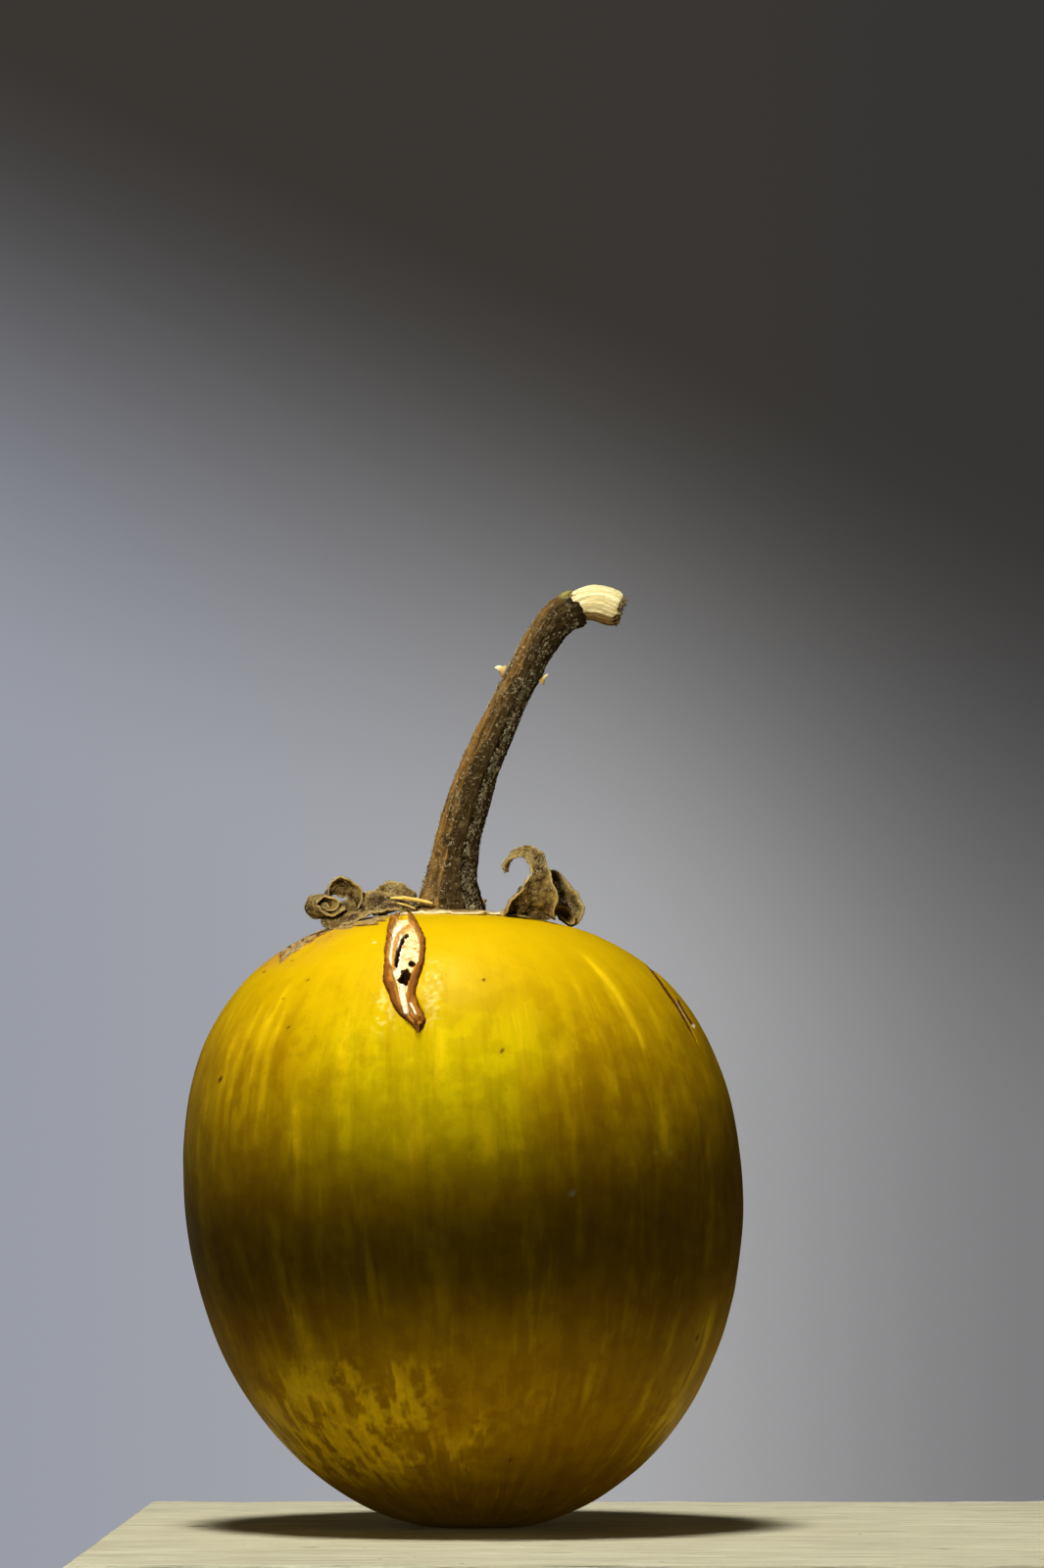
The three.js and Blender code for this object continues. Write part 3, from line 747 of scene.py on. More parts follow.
def bark_body():
    """The stalk's bark: a tube along the stalk, with five ridges, furrows, fibres, lumps and a torn end.

    Radius = listed radius (1 + 0.035 cos(5 theta) + lobes at the foot) - the bells of three furrows +
    stretched noise. The last rings turn in and back under the bark's torn edge.
    """
    distance = uneven(0, BARK_LENGTH, 430, [(0, 3, 0.6), (BARK_LENGTH, 1.2, 1.5)])[:, None]
    theta = np.linspace(-math.pi, math.pi, 161)[:-1][None, :]
    distance, theta = np.broadcast_arrays(distance, theta)
    round_place = np.stack([2.4 * np.cos(theta), 2.4 * np.sin(theta), distance], axis=-1)
    fibres = layered_noise(round_place * (1, 1, 0.13), 0.55, 501)
    lumps = layered_noise(round_place * (1, 1, 0.6), 1.3, 511)
    grains = layered_noise(round_place, 0.34, 521, 2)
    warts = ramp(0.5, 0.85, lattice_noise(round_place * (1, 1, 0.7), 0.55, 531))
    furrow_turn = np.radians(np.interp(distance, (0, 8, 22, 34), (-48, -56, -50, -75)))
    furrow_depth = np.interp(distance, (0, 3, 14, 24, 34, 38), (0.25, 0.42, 0.42, 0.3, 0.2, 0.1))
    furrow = bell(turned(theta - furrow_turn), 0, 0.2 + 0.06 * lumps) * furrow_depth
    second = bell(turned(theta - math.radians(-128)), 0, 0.2) * 0.16
    third = bell(turned(theta - math.radians(70)), 0, 0.3) * 0.25
    lobes = ramp(2.2, 0, distance) * (0.04 * np.cos(5 * theta + 0.6) + 0.03 * np.cos(3 * theta - 1))
    radius = curve_values(STALK_RADII, distance) * (1 + 0.035 * np.cos(5 * theta) + lobes)
    radius = radius - furrow - second - third + 0.1 * fibres + 0.09 * lumps
    radius = radius + (0.05 + 0.1 * ramp(4, 1, distance)) * grains + 0.1 * warts
    end = ramp(BARK_LENGTH - 1.6, BARK_LENGTH, distance)
    jag = 0.3 * np.cos(theta) + 0.45 * lattice_noise(round_place * (1, 1, 0), 0.4, 541)
    points, _, _ = on_stalk(distance + end * jag, theta, radius)
    last = distance[-1:] + jag[-1:]
    inner = [
        on_stalk(last + step, theta[-1:], radius[-1:] - wall)[0]
        for step, wall in ((0.08, 0.12), (0.02, 0.3), (-0.5, 0.45), (-0.9, 1.2), (-0.9, 1.8))
    ]
    first = [on_stalk(distance[:1] + 0 * theta[:1], theta[:1], radius[:1] * share)[0] for share in (0.1, 0.6)]
    rings = np.concatenate([*first, points, *inner])

    def padded(layer):
        """The layer with its end rings repeated for the two rings before and the five after."""
        return np.concatenate([layer[:1]] * len(first) + [layer] + [layer[-1:]] * len(inner))

    # Painted shade: the furrows, less over the warts, are painted dark as the shade in them.
    painted_furrow_shade = np.clip(furrow / 0.4 + second / 0.3 - 0.4 * warts, 0, 1)
    # Painted light and shade: the left and upper side of the bark is painted golden as lit, the right and
    # lower side dark as shaded.
    lit = ramp(0.25, -0.35, np.cos(theta + 0.35) + 0.35 * lumps + 0.3 * fibres)
    top_dark = ramp(BARK_LENGTH - 5, BARK_LENGTH - 0.5, distance) * ramp(0.3, -0.6, np.cos(theta + 0.3))
    pale_patch = ramp(BARK_LENGTH - 1.9, BARK_LENGTH - 0.7, distance) * ramp(-0.5, -0.9, np.cos(theta))
    layers = {
        "fibre": 0.5 + 0.35 * fibres + 0.25 * lumps + 0.3 * ramp(2.5, 0.5, distance), "hollow": painted_furrow_shade,
        "golden": lit, "scorched": np.clip(top_dark * 0.8 + end * 0.6, 0, 1), "pale": pale_patch,
        "wart": warts, "run": round_place,
    }
    return skinned(rings, {name: padded(layer) for name, layer in layers.items()})


def wood_body():
    """The bared wood at the stalk's end: a fibrous stub with a sunken underside, painted darker partly as
    shade, and a torn end.

    Radius = listed radius + noise stretched along the stalk - 0.42 mm on the underside; the last rings
    step back by noise round the stub, and close inwards.
    """
    reach = STALK_DISTANCES[-1] - BARK_LENGTH + 0.9
    run = uneven(0, reach, 170, [(reach, 1.2, 1.0)])[:, None]
    theta = np.linspace(-math.pi, math.pi, 129)[:-1][None, :]
    run, theta = np.broadcast_arrays(run, theta)
    round_place = np.stack([1.9 * np.cos(theta), 1.9 * np.sin(theta), run], axis=-1)
    fibres = layered_noise(round_place * (1, 1, 0.07), 0.4, 601)
    lumps = layered_noise(round_place * (1, 1, 0.4), 1.2, 611)
    grains = layered_noise(round_place * (1, 1, 0.3), 0.22, 621, 2)
    low_edge = 0.95 + 0.18 * lumps
    # The underside is sunk, and its mask also paints it darker in the material: partly the wood's own brown,
    # partly painted shade.
    under = ramp(low_edge + 0.14, low_edge - 0.14, np.abs(turned(theta)))
    under = under * ramp(0.6, 1.6, run)
    radius = curve_values(WOOD_RADII, run) + 0.09 * fibres + 0.05 * lumps + 0.03 * grains - under * 0.42
    tear = ramp(reach - 1.3, reach, run) * (0.55 * lattice_noise(round_place * (1, 1, 0), 0.5, 631) - 0.35)
    start = BARK_LENGTH - 0.75
    points, _, _ = on_stalk(start + run + tear, theta, radius * (1 - 0.2 * ramp(reach - 0.8, reach, run)))
    last = start + run[-1:] + tear[-1:]
    rough = 0.25 * lattice_noise(round_place[-1:] * 2, 0.5, 641)
    inner = [
        on_stalk(last - step + rough, theta[-1:], radius[-1:] * share)[0]
        for step, share in ((0.05, 0.7), (0.5, 0.6), (0.3, 0.42), (0.6, 0.25), (0.4, 0.08))
    ]
    rings = np.concatenate([points, *inner])

    torn = ramp(reach - 0.9, reach - 0.1, run + 0.4 * lumps)
    layers = {"fibre": 0.5 + 0.45 * fibres + 0.2 * grains, "under": under, "torn": torn, "run": round_place}
    ends = {name: layer[-1:] for name, layer in layers.items()}
    ends["torn"] = np.ones_like(torn[-1:])
    return skinned(rings, {
        name: np.concatenate([layer] + [ends[name]] * len(inner)) for name, layer in layers.items()})


def prickle_body(foot, tip, radius):
    """A prickle: rings that shrink as (1 - t)^0.8 from foot to tip, along a line that bends a little up."""
    foot, tip = np.array(foot), np.array(tip)
    t = np.linspace(-0.25, 0.985, 26)
    bend = np.outer(0.16 * np.sin(math.pi * np.clip(t, 0, 1)), (0, 0, 1.0))
    axis = foot + t[:, None] * (tip - foot) + bend
    along = unit(tip - foot)
    side = unit(np.cross(along, (0, 1.0, 0)))
    other = np.cross(along, side)
    turn = np.linspace(0, 2 * math.pi, 25)[:-1]
    size = radius * (1 - np.clip(t, 0, 1)) ** 0.8 * (1 + 0.5 * ramp(0.2, -0.2, t))
    ring = np.cos(turn)[:, None] * side + 0.75 * np.sin(turn)[:, None] * other
    rings = axis[:, None] + size[:, None, None] * ring
    rings = rings + 0.03 * lattice_noise(rings, 0.3, 651)[..., None] * ring
    return skinned(rings, {"tipward": np.broadcast_to(np.clip(t, 0, 1)[:, None], rings.shape[:2])})


# Calyx and sepals ------------------------------------------------------------------------------------

SEPAL_THICKNESS = 0.42
CALYX_REACH = 8.3
# Rows: x, y, z of the midrib, half width, azimuth and rise of the width's way in degrees, and how far in
# degrees the low and the high margin curl towards the face.
SEPALS = {
    "sepal_right_front": [[
        [7.0, -4.4, 70.7, 3.0, 8, 0, -60, -30], [7.9, -5.8, 71.5, 3.5, 8, 0, -90, -40],
        [8.7, -6.2, 73.0, 2.7, 8, 0, -110, -50], [9.1, -6.0, 74.5, 1.8, 10, 0, -100, -60],
        [8.9, -5.7, 76.0, 1.25, 20, 0, -60, -60], [8.4, -5.5, 77.2, 1.05, 35, 20, -50, -60],
        [7.3, -5.3, 77.8, 0.9, 50, 40, 50, 50], [5.9, -5.1, 77.3, 0.8, 60, 40, 40, 40],
        [5.1, -5.0, 76.1, 0.6, 60, 20, 30, 30], [5.3, -4.9, 75.3, 0.3, 60, 20, 20, 20],
    ]],
    "sepal_right_back": [[
        [7.2, 0.9, 70.2, 2.0, 185, 0, 0, 0], [8.0, 1.5, 71.6, 2.2, 185, 0, -30, -30],
        [8.8, 2.0, 72.8, 2.2, 190, -10, -50, -40], [9.9, 2.3, 73.6, 2.2, 200, -35, -60, -50],
        [10.8, 2.2, 73.0, 2.4, 205, -45, -70, -60], [11.6, 1.7, 72.1, 2.5, 210, -48, -60, -60],
        [12.2, 1.2, 71.2, 2.4, 215, -50, -50, -40], [12.2, 0.8, 70.6, 1.8, 220, -40, -40, -30],
        [11.6, 0.6, 70.3, 0.9, 220, -20, -30, -30],
    ]],
    "sepal_back": [[
        [-1, 6.4, 71.6, 2.8, 180, 0, 0, 0], [-0.9, 9, 72.2, 3.6, 180, 0, 25, 25],
        [-0.8, 12.0, 72.4, 3.6, 180, 2, 50, 35], [-0.5, 15, 71.6, 3.1, 178, 4, 60, 60],
        [-0.1, 17.3, 71.0, 2.3, 177, 6, 70, 80], [0.2, 19.2, 71.2, 1.6, 176, 8, 90, 90],
        [0.6, 20.4, 72.3, 0.9, 174, 12, 60, 60], [0.6, 20.2, 73.2, 0.3, 174, 12, 30, 30],
    ]],
    "sepal_left_back": [[
        [-5.2, 1.6, 70.6, 1.3, 270, -45, 0, 0], [-5.9, 1.6, 72.0, 1.5, 270, -45, 20, 20],
        [-6.9, 1.7, 73.0, 1.6, 270, -45, 40, 30], [-8.1, 1.9, 73.4, 1.6, 268, -45, 50, 40],
        [-9.2, 2.3, 73.0, 1.6, 265, -45, 60, 60], [-10.1, 3.0, 72.1, 1.5, 260, -40, 70, 70],
        [-11.2, 4.0, 71.4, 1.3, 255, -30, 80, 80], [-12.1, 4.8, 71.1, 0.5, 250, -20, 40, 40],
    ]],
    "sepal_left_front": [[
        [-5.6, -3.0, 70.8, 1.4, 285, -35, 0, 10], [-7.4, -4.2, 71.4, 1.7, 285, -40, 20, 30],
        [-9.3, -5.0, 71.7, 1.9, 285, -45, 30, 40], [-11.1, -5.5, 71.4, 1.9, 285, -45, 30, 40],
        [-12.8, -5.8, 70.6, 2.1, 285, -45, 20, 30], [-14.3, -5.9, 70.1, 2.0, 285, -45, 15, 15],
        [-15.4, -5.9, 69.7, 1.4, 285, -45, 10, 10], [-16.0, -5.8, 69.3, 0.5, 285, -30, 10, 10],
    ], [
        [-13.6, -5.7, 71.2, 0.7, 290, -20, 0, 0], [-14.3, -6.0, 70.7, 1.3, 292, -5, 10, 10],
        [-15.3, -6.2, 70.3, 1.6, 298, 0, 10, 10], [-16.4, -6.3, 70.45, 1.7, 300, 0, 10, 10],
        [-17.1, -6.3, 71.1, 1.6, 300, 0, 10, 10], [-16.9, -6.3, 71.9, 1.6, 300, 0, 10, 10],
        [-15.9, -6.3, 72.25, 1.5, 300, 0, 10, 10], [-15.0, -6.3, 71.85, 1.4, 300, 0, 10, 10],
        [-14.85, -6.3, 71.2, 1.3, 300, 0, 10, 10], [-15.4, -6.3, 70.85, 1.2, 300, 0, 10, 10],
        [-16.1, -6.3, 71.0, 1.1, 300, 0, 10, 10], [-16.2, -6.3, 71.45, 1.0, 300, 0, 10, 10],
        [-15.8, -6.2, 71.6, 1.0, 300, 0, 10, 10], [-15.5, -6.1, 71.4, 1.0, 300, 0, 10, 10],
        [-15.6, -6.0, 71.15, 0.9, 300, 0, 10, 10], [-15.85, -5.9, 71.3, 0.7, 300, 0, 10, 10],
    ], [
        [-15.9, -5.6, 71.9, 0.9, 300, 30, 20, 20], [-15.3, -5.5, 73.0, 1.2, 300, 35, 40, 40],
        [-14.3, -5.4, 73.6, 1.3, 300, 50, 40, 40], [-13.1, -5.3, 73.6, 1.3, 300, 50, 50, 50],
        [-12.0, -5.2, 72.9, 1.1, 300, 45, 50, 50], [-11.6, -5.1, 71.9, 0.9, 300, 30, 40, 40],
        [-11.8, -5.0, 71.1, 0.8, 300, 10, 30, 30], [-12.4, -5.0, 70.6, 0.5, 300, 0, 20, 20],
    ]],
}


def sepal_rings(rows, seed):
    """Closed cross-sections of a dried sepal along its midrib.

    Across the sepal the surface turns by the angle curl (0.35 |v| + 0.65 |v|^3) towards its face, plus a
    ripple of 9 degrees times the sine of 7 v, where v runs from -1 to 1; the section is the running sum of
    the cosine and sine of that angle. Noise crinkles it, and the two sides lie half a thickness to either
    side, which thins towards the margins and swells at the veins.
    """
    along_count, across_count = 170, 47
    values = through(rows, np.linspace(0, 1, along_count))
    midrib = values[:, :3]
    half_width, azimuth, rise, curl_low, curl_high = values[:, 3:].T
    azimuth, rise = np.radians(azimuth), np.radians(rise)
    along = unit(np.gradient(midrib, axis=0))
    side = np.stack([np.cos(azimuth) * np.cos(rise), np.sin(azimuth) * np.cos(rise), np.sin(rise)], axis=-1)
    face = unit(np.cross(along, side))
    side = np.cross(face, along)
    v = np.linspace(-1, 1, across_count)
    step = v[1] - v[0]
    draws = np.random.default_rng(seed)
    wave = sum(
        draws.uniform(0.4, 1) * np.sin(np.linspace(0, turns * 2 * math.pi, along_count) + draws.uniform(0, 6))
        for turns in (2.3, 4.1, 7.3)
    )
    width = np.maximum(half_width, 0.1) * (1 + 0.07 * wave)
    curl = np.where(v < 0, -curl_low[:, None], curl_high[:, None])
    ripple = 9 * np.sin(v * 7 + 0.8 * wave[:, None])
    angle = np.radians(curl * (0.35 * np.abs(v) + 0.65 * np.abs(v) ** 3) + ripple)
    centre = across_count // 2
    out, up = (np.cumsum(part, axis=1) * step for part in (np.cos(angle), np.sin(angle)))
    out, up = ((way - way[:, centre : centre + 1]) * width[:, None] for way in (out, up))
    sheet = midrib[:, None] + out[..., None] * side[:, None] + up[..., None] * face[:, None]
    normal = -np.sin(angle)[..., None] * side[:, None] + np.cos(angle)[..., None] * face[:, None]
    crinkle = 0.34 * layered_noise(sheet, 2.3, seed + 1) + 0.1 * layered_noise(sheet, 0.7, seed + 5)
    sheet = sheet + normal * (crinkle * np.minimum(1, width[:, None] / 1.2))[..., None]
    veins = np.exp(-((v / 0.08) ** 2)) + 0.5 * np.exp(-(((np.abs(v) - 0.5) / 0.06) ** 2))
    thickness = SEPAL_THICKNESS * (1 - 0.55 * np.abs(v) ** 4) + 0.2 * veins
    thickness = thickness * np.minimum(1, 0.3 + width[:, None])
    fine = 0.07 * layered_noise(sheet, 0.35, seed + 9, 2)
    top = sheet + normal * (thickness / 2 + fine)[..., None]
    bottom = sheet - normal * (thickness / 2 - fine)[..., None]
    rings = np.concatenate([top, bottom[:, ::-1]], axis=1)
    edge = np.broadcast_to(np.abs(v) ** 6, sheet.shape[:2])
    tone = 0.5 + 0.5 * layered_noise(sheet, 1.4, seed + 13)
    layers = {"edge": edge, "tone": tone}
    return rings, {name: np.concatenate([layer, layer[:, ::-1]], axis=1) for name, layer in layers.items()}


def sepal_body(strips, seed):
    """A sepal of one to three strips."""
    return joined([skinned(*sepal_rings(rows, seed + 50 * n)) for n, rows in enumerate(strips)])


def calyx_body():
    """The calyx: a crinkled papery disc that lies on the crown, with a wavy, slightly lifted pale rim.

    Its reach is 8.3 (1 + 0.1 cos(5 theta + 0.4) + 0.05 cos(9 theta) + 0.04 cos(17 theta + 1)); its height
    over the skin is a thin gap plus a rise towards the stalk's foot and crinkles of noise.
    """
    theta = np.linspace(-math.pi, math.pi, 241)[:-1][None, :]
    share = uneven(0.03, 1, 70, [(1, 0.12, 1.5)])[:, None]
    centre_x = axis_shift(FRUIT_HEIGHT)
    waves = 0.1 * np.cos(5 * theta + 0.4) + 0.05 * np.cos(9 * theta) + 0.04 * np.cos(17 * theta + 1)
    edge = CALYX_REACH * (1 + waves)
    reach = edge * share
    x = centre_x + reach * np.cos(theta)
    y = reach * np.sin(theta)
    ground = np.interp(reach, PROFILE_RADII[-600:][::-1], PROFILE_HEIGHTS[-600:][::-1])
    flat = np.stack([x, y, 0 * x + 72.0], axis=-1)
    crinkle = layered_noise(flat, 1.5, 701)
    fine = layered_noise(flat, 0.4, 711, 2)
    rise = 0.55 * ramp(7.5, 3.5, reach) + 0.12 * ramp(0.85, 1.0, share) * (1 + crinkle)
    top = ground + 0.22 + rise + 0.1 * crinkle + 0.03 * fine
    bottom = np.minimum(ground + 0.06 + 0.2 * rise, top - 0.1)
    upper = np.stack([x, y, top], axis=-1)
    lower = np.stack([x, y, bottom], axis=-1)
    layers = {"edge": np.broadcast_to(ramp(0.6, 0.95, share), x.shape), "tone": 0.5 + 0.5 * crinkle}
    return skinned(np.concatenate([upper, lower[::-1]]), {
        name: np.concatenate([layer, layer[::-1]]) for name, layer in layers.items()})


# Dry strips of torn calyx on the left of the crown: x and z of the middle line, and half the height.
SLIVERS = [
    ([(-8.1, 72.3), (-6.6, 72.3), (-5.0, 72.1), (-3.2, 71.7)], 0.24),
    ([(-7.4, 71.8), (-6.3, 71.5), (-5.2, 71.1)], 0.13),
    ([(-10.2, 70.4), (-8.5, 70.7), (-6.8, 71.1)], 0.17),
]


def slivers_body():
    """Dry slivers in front of the stalk's foot: short tubes with a flat section that taper to both ends."""
    bodies = []
    turn = np.linspace(0, 2 * math.pi, 17)[:-1]
    for number, (line, size) in enumerate(SLIVERS):
        places = through(np.array(line), np.linspace(0, 1, 60))
        depth = -5.2 + 0.6 * number
        middle = np.stack([places[:, 0], np.full(60, depth), places[:, 1]], axis=-1)
        taper = np.sqrt(np.sin(math.pi * np.linspace(0.02, 0.98, 60)))
        ring = np.stack([0 * turn, 1.5 * np.cos(turn), np.sin(turn)], axis=-1)
        rings = middle[:, None] + (size * taper)[:, None, None] * ring
        rings = rings + 0.05 * layered_noise(rings, 0.5, 731)[..., None] * ring
        bodies.append(skinned(rings, {
            "edge": np.full(rings.shape[:2], 0.9), "tone": 0.5 + 0.5 * layered_noise(rings, 0.8, 741)}))
    return joined(bodies)


# Fuzz ------------------------------------------------------------------------------------------------


HAIR_RADIUS = 0.026
FIBRE_RADIUS = 0.05


def tufts(feet, normals, count, length, seed):
    """Star-shaped tufts: from each foot, count spikes that lean from the normal in random ways."""
    draws = np.random.default_rng(seed)
    feet = np.repeat(feet, count, axis=0)
    normals = np.repeat(normals, count, axis=0)
    lean = draws.normal(0, 1, feet.shape)
    lean = unit(lean - np.sum(lean * normals, axis=-1, keepdims=True) * normals)
    ways = unit(normals * draws.uniform(0.15, 1.1, (len(feet), 1)) + lean)
    lengths = length * draws.uniform(0.5, 1.3, len(feet))
    return spikes(feet - 0.02 * normals, ways, lengths, np.full(len(feet), HAIR_RADIUS))


def stalk_fuzz_body(settings):
    """Tufts on the bark, thickest in the furrow and at the foot."""
    draws = np.random.default_rng(801)
    count = settings.stalk_tufts
    distance = BARK_LENGTH * draws.uniform(0.0, 0.985, count) ** 1.15
    furrow = draws.uniform(0, 1, count) < 0.45
    spread = np.where(furrow, draws.normal(-0.7, 0.45, count), draws.uniform(-math.pi, math.pi, count))
    radius = curve_values(STALK_RADII, distance) - np.where(furrow, 0.22, 0.0)
    feet, outward, _ = on_stalk(distance, spread, radius)
    return tufts(feet, outward, 5, settings.hair_length, 802)


def sepal_fuzz_body(settings):
    """Tufts on both faces of the sepals, drawn from their surfaces' own points."""
    draws = np.random.default_rng(811)
    feet, normals = [], []
    for number, strips in enumerate(SEPALS.values()):
        for strip, rows in enumerate(strips):
            rings, _ = sepal_rings(rows, sepal_seed(number) + 50 * strip)
            outward = ring_normals(rings)
            size = np.linalg.norm(np.diff(rings, axis=0), axis=-1).mean() * rings.shape[0] / 14
            picks = draws.integers(4, rings.shape[0] - 4, int(settings.sepal_tufts * size / (1 + 2 * strip)))
            across = draws.integers(0, rings.shape[1], len(picks))
            feet.append(rings[picks, across])
            normals.append(outward[picks, across])
    return tufts(np.concatenate(feet), np.concatenate(normals), 4, settings.hair_length * 0.9, 812)


def torn_fibres_body():
    """Fibres at the wood's torn end, on its underside and round the edge of the bark."""
    draws = np.random.default_rng(821)
    tip = STALK_DISTANCES[-1]
    end_count, edge_count, under_count = 260, 240, 160
    distance = np.concatenate([
        draws.uniform(tip - 1.0, tip - 0.35, end_count),
        draws.uniform(BARK_LENGTH - 0.4, BARK_LENGTH, edge_count),
        draws.uniform(BARK_LENGTH + 0.3, tip - 0.6, under_count),
    ])
    theta = np.concatenate([
        draws.uniform(-math.pi, math.pi, end_count), draws.uniform(-math.pi, math.pi, edge_count),
        draws.normal(0, 0.55, under_count),
    ])
    radius = np.concatenate([
        1.75 * np.sqrt(draws.uniform(0.1, 1, end_count)), draws.uniform(1.6, 1.95, edge_count),
        np.full(under_count, 1.35),
    ])
    feet, outward, along = on_stalk(distance, theta, radius)
    ways = along * draws.uniform(0.5, 1.4, (len(feet), 1)) + outward * draws.normal(0.25, 0.5, (len(feet), 1))
    ways += 0.35 * draws.normal(0, 1, feet.shape)
    long, short = draws.uniform(0.25, 0.75, len(feet)), draws.uniform(0.25, 0.6, len(feet))
    lengths = np.where(distance > tip - 1.1, long, short)
    return spikes(feet, ways, lengths, np.full(len(feet), FIBRE_RADIUS))


def sepal_seed(number):
    """The seed of a sepal's crinkles."""
    return 900 + 120 * number


# Materials -------------------------------------------------------------------------------------------


def put(tree, kind, inputs=None, **settings):
    """A shader node: settings are its own properties; inputs are values or sockets by name or number."""
    node = tree.nodes.new("ShaderNode" + kind)
    for key, value in settings.items():
        setattr(node, key, value)
    for key, value in (inputs or {}).items():
        if isinstance(value, bpy.types.NodeSocket):
            tree.links.new(value, node.inputs[key])
        else:
            node.inputs[key].default_value = value
    return node


def plus(tree, a, b, held=False):
    """a + b, held to 0..1 where asked."""
    return put(tree, "Math", {0: a, 1: b}, operation="ADD", use_clamp=held).outputs[0]


def minus(tree, a, b):
    """a - b."""
    return put(tree, "Math", {0: a, 1: b}, operation="SUBTRACT").outputs[0]


def times(tree, a, b, held=False):
    """a times b, held to 0..1 where asked."""
    return put(tree, "Math", {0: a, 1: b}, operation="MULTIPLY", use_clamp=held).outputs[0]


def one_over(tree, a):
    """1 / a."""
    return put(tree, "Math", {0: 1.0, 1: a}, operation="DIVIDE").outputs[0]


def remap(tree, value, low, high, to_low=0.0, to_high=1.0):
    """The value from low to high made to_low to to_high, smoothly and held to that range."""
    ends = {"From Min": low, "From Max": high, "To Min": to_low, "To Max": to_high}
    return put(tree, "MapRange", {"Value": value, **ends}, interpolation_type="SMOOTHSTEP").outputs["Result"]


def as_colour(tint):
    """A socket as it is, or three numbers as an opaque colour."""
    return tint if isinstance(tint, bpy.types.NodeSocket) else (*tint, 1.0)


def mix(tree, share, a, b, way="MIX"):
    """Colours a and b mixed by a share."""
    inputs = {0: share, 6: as_colour(a), 7: as_colour(b)}
    return put(tree, "Mix", inputs, data_type="RGBA", blend_type=way, clamp_factor=True).outputs[2]


def over(tree, base, mask, strength, tint):
    """A base colour with a tint laid over it by the mask times the strength."""
    return mix(tree, times(tree, mask, strength), base, tint)


def layers_of(tree, *names):
    """Mesh attributes as values."""
    return [put(tree, "Attribute", attribute_name=name).outputs["Fac"] for name in names]


def vector_of(tree, name):
    """A mesh attribute as a vector or a colour."""
    return put(tree, "Attribute", attribute_name=name).outputs["Vector"]


def new_group(name, inputs, outputs):
    """An empty shader node group: its tree, its input node's sockets and its output node."""
    tree = bpy.data.node_groups.new(name, "ShaderNodeTree")
    for label, kind, default in inputs:
        socket = tree.interface.new_socket(label, in_out="INPUT", socket_type="NodeSocket" + kind)
        if kind == "Float":
            socket.default_value = default
    for label, kind in outputs:
        tree.interface.new_socket(label, in_out="OUTPUT", socket_type="NodeSocket" + kind)
    return tree, tree.nodes.new("NodeGroupInput").outputs, tree.nodes.new("NodeGroupOutput")


def noise_of(tree, place, scale, detail, roughness=0.5):
    """Blender's noise at a place, around 0.5."""
    inputs = {"Vector": place, "Scale": scale, "Detail": detail, "Roughness": roughness}
    return put(tree, "TexNoise", inputs).outputs["Fac"]


def spread(tree, noise, contrast):
    """The noise's values from 0.5 - contrast to 0.5 + contrast, made 0 to 1."""
    low = minus(tree, 0.5, contrast)
    high = plus(tree, 0.5, contrast)
    return remap(tree, noise, low, high)


def drift_group():
    """Slow drift of tone: noise of a given feature size, in millimetres, spread to the full 0..1."""
    tree, given, result = new_group(
        "Drift", [("Place", "Vector", None), ("Size", "Float", 6.0), ("Contrast", "Float", 0.2)],
        [("Tone", "Float")])
    noise = noise_of(tree, given["Place"], one_over(tree, given["Size"]), 3.0, 0.55)
    tree.links.new(spread(tree, noise, given["Contrast"]), result.inputs["Tone"])
    return tree


def fibres_group():
    """Fibres along the third axis: noise of a given width, drawn out by the stretch, spread to 0..1."""
    tree, given, result = new_group(
        "Fibres", [("Run", "Vector", None), ("Width", "Float", 0.3), ("Stretch", "Float", 12.0),
                   ("Contrast", "Float", 0.22)],
        [("Strand", "Float")])
    shrink = one_over(tree, given["Stretch"])
    factors = put(tree, "CombineXYZ", {"X": 1.0, "Y": 1.0, "Z": shrink}).outputs[0]
    drawn = put(tree, "VectorMath", {0: given["Run"], 1: factors}, operation="MULTIPLY").outputs[0]
    noise = noise_of(tree, drawn, one_over(tree, given["Width"]), 4.0, 0.6)
    tree.links.new(spread(tree, noise, given["Contrast"]), result.inputs["Strand"])
    return tree


def specks_group():
    """Scattered specks: cells of a given size, of which a share holds a round speck.

    The speck's radius is given as a share of the cell.
    """
    tree, given, result = new_group(
        "Specks", [("Place", "Vector", None), ("Cell", "Float", 1.0), ("Radius", "Float", 0.2),
                   ("Share", "Float", 0.5)],
        [("Mask", "Float")])
    scale = one_over(tree, given["Cell"])
    cells = put(tree, "TexVoronoi", {"Vector": given["Place"], "Scale": scale})
    inner = times(tree, given["Radius"], 0.5)
    dot = remap(tree, cells.outputs["Distance"], given["Radius"], inner)
    pick = put(tree, "SeparateColor", {"Color": cells.outputs["Color"]}).outputs[0]
    kept = put(tree, "Math", {0: pick, 1: given["Share"]}, operation="LESS_THAN").outputs[0]
    tree.links.new(times(tree, dot, kept), result.inputs["Mask"])
    return tree


def grain_group():
    """A height for a bump: a fine and a coarser noise added, of a given feature size in millimetres."""
    tree, given, result = new_group(
        "Grain", [("Place", "Vector", None), ("Size", "Float", 0.3)], [("Height", "Float")])
    scale = one_over(tree, given["Size"])
    fine = noise_of(tree, given["Place"], scale, 3.0)
    coarse = noise_of(tree, given["Place"], times(tree, scale, 0.3), 2.0)
    total = plus(tree, fine, coarse)
    tree.links.new(times(tree, total, 0.5), result.inputs["Height"])
    return tree


GROUP_MAKERS = {"Drift": drift_group, "Fibres": fibres_group, "Specks": specks_group, "Grain": grain_group}


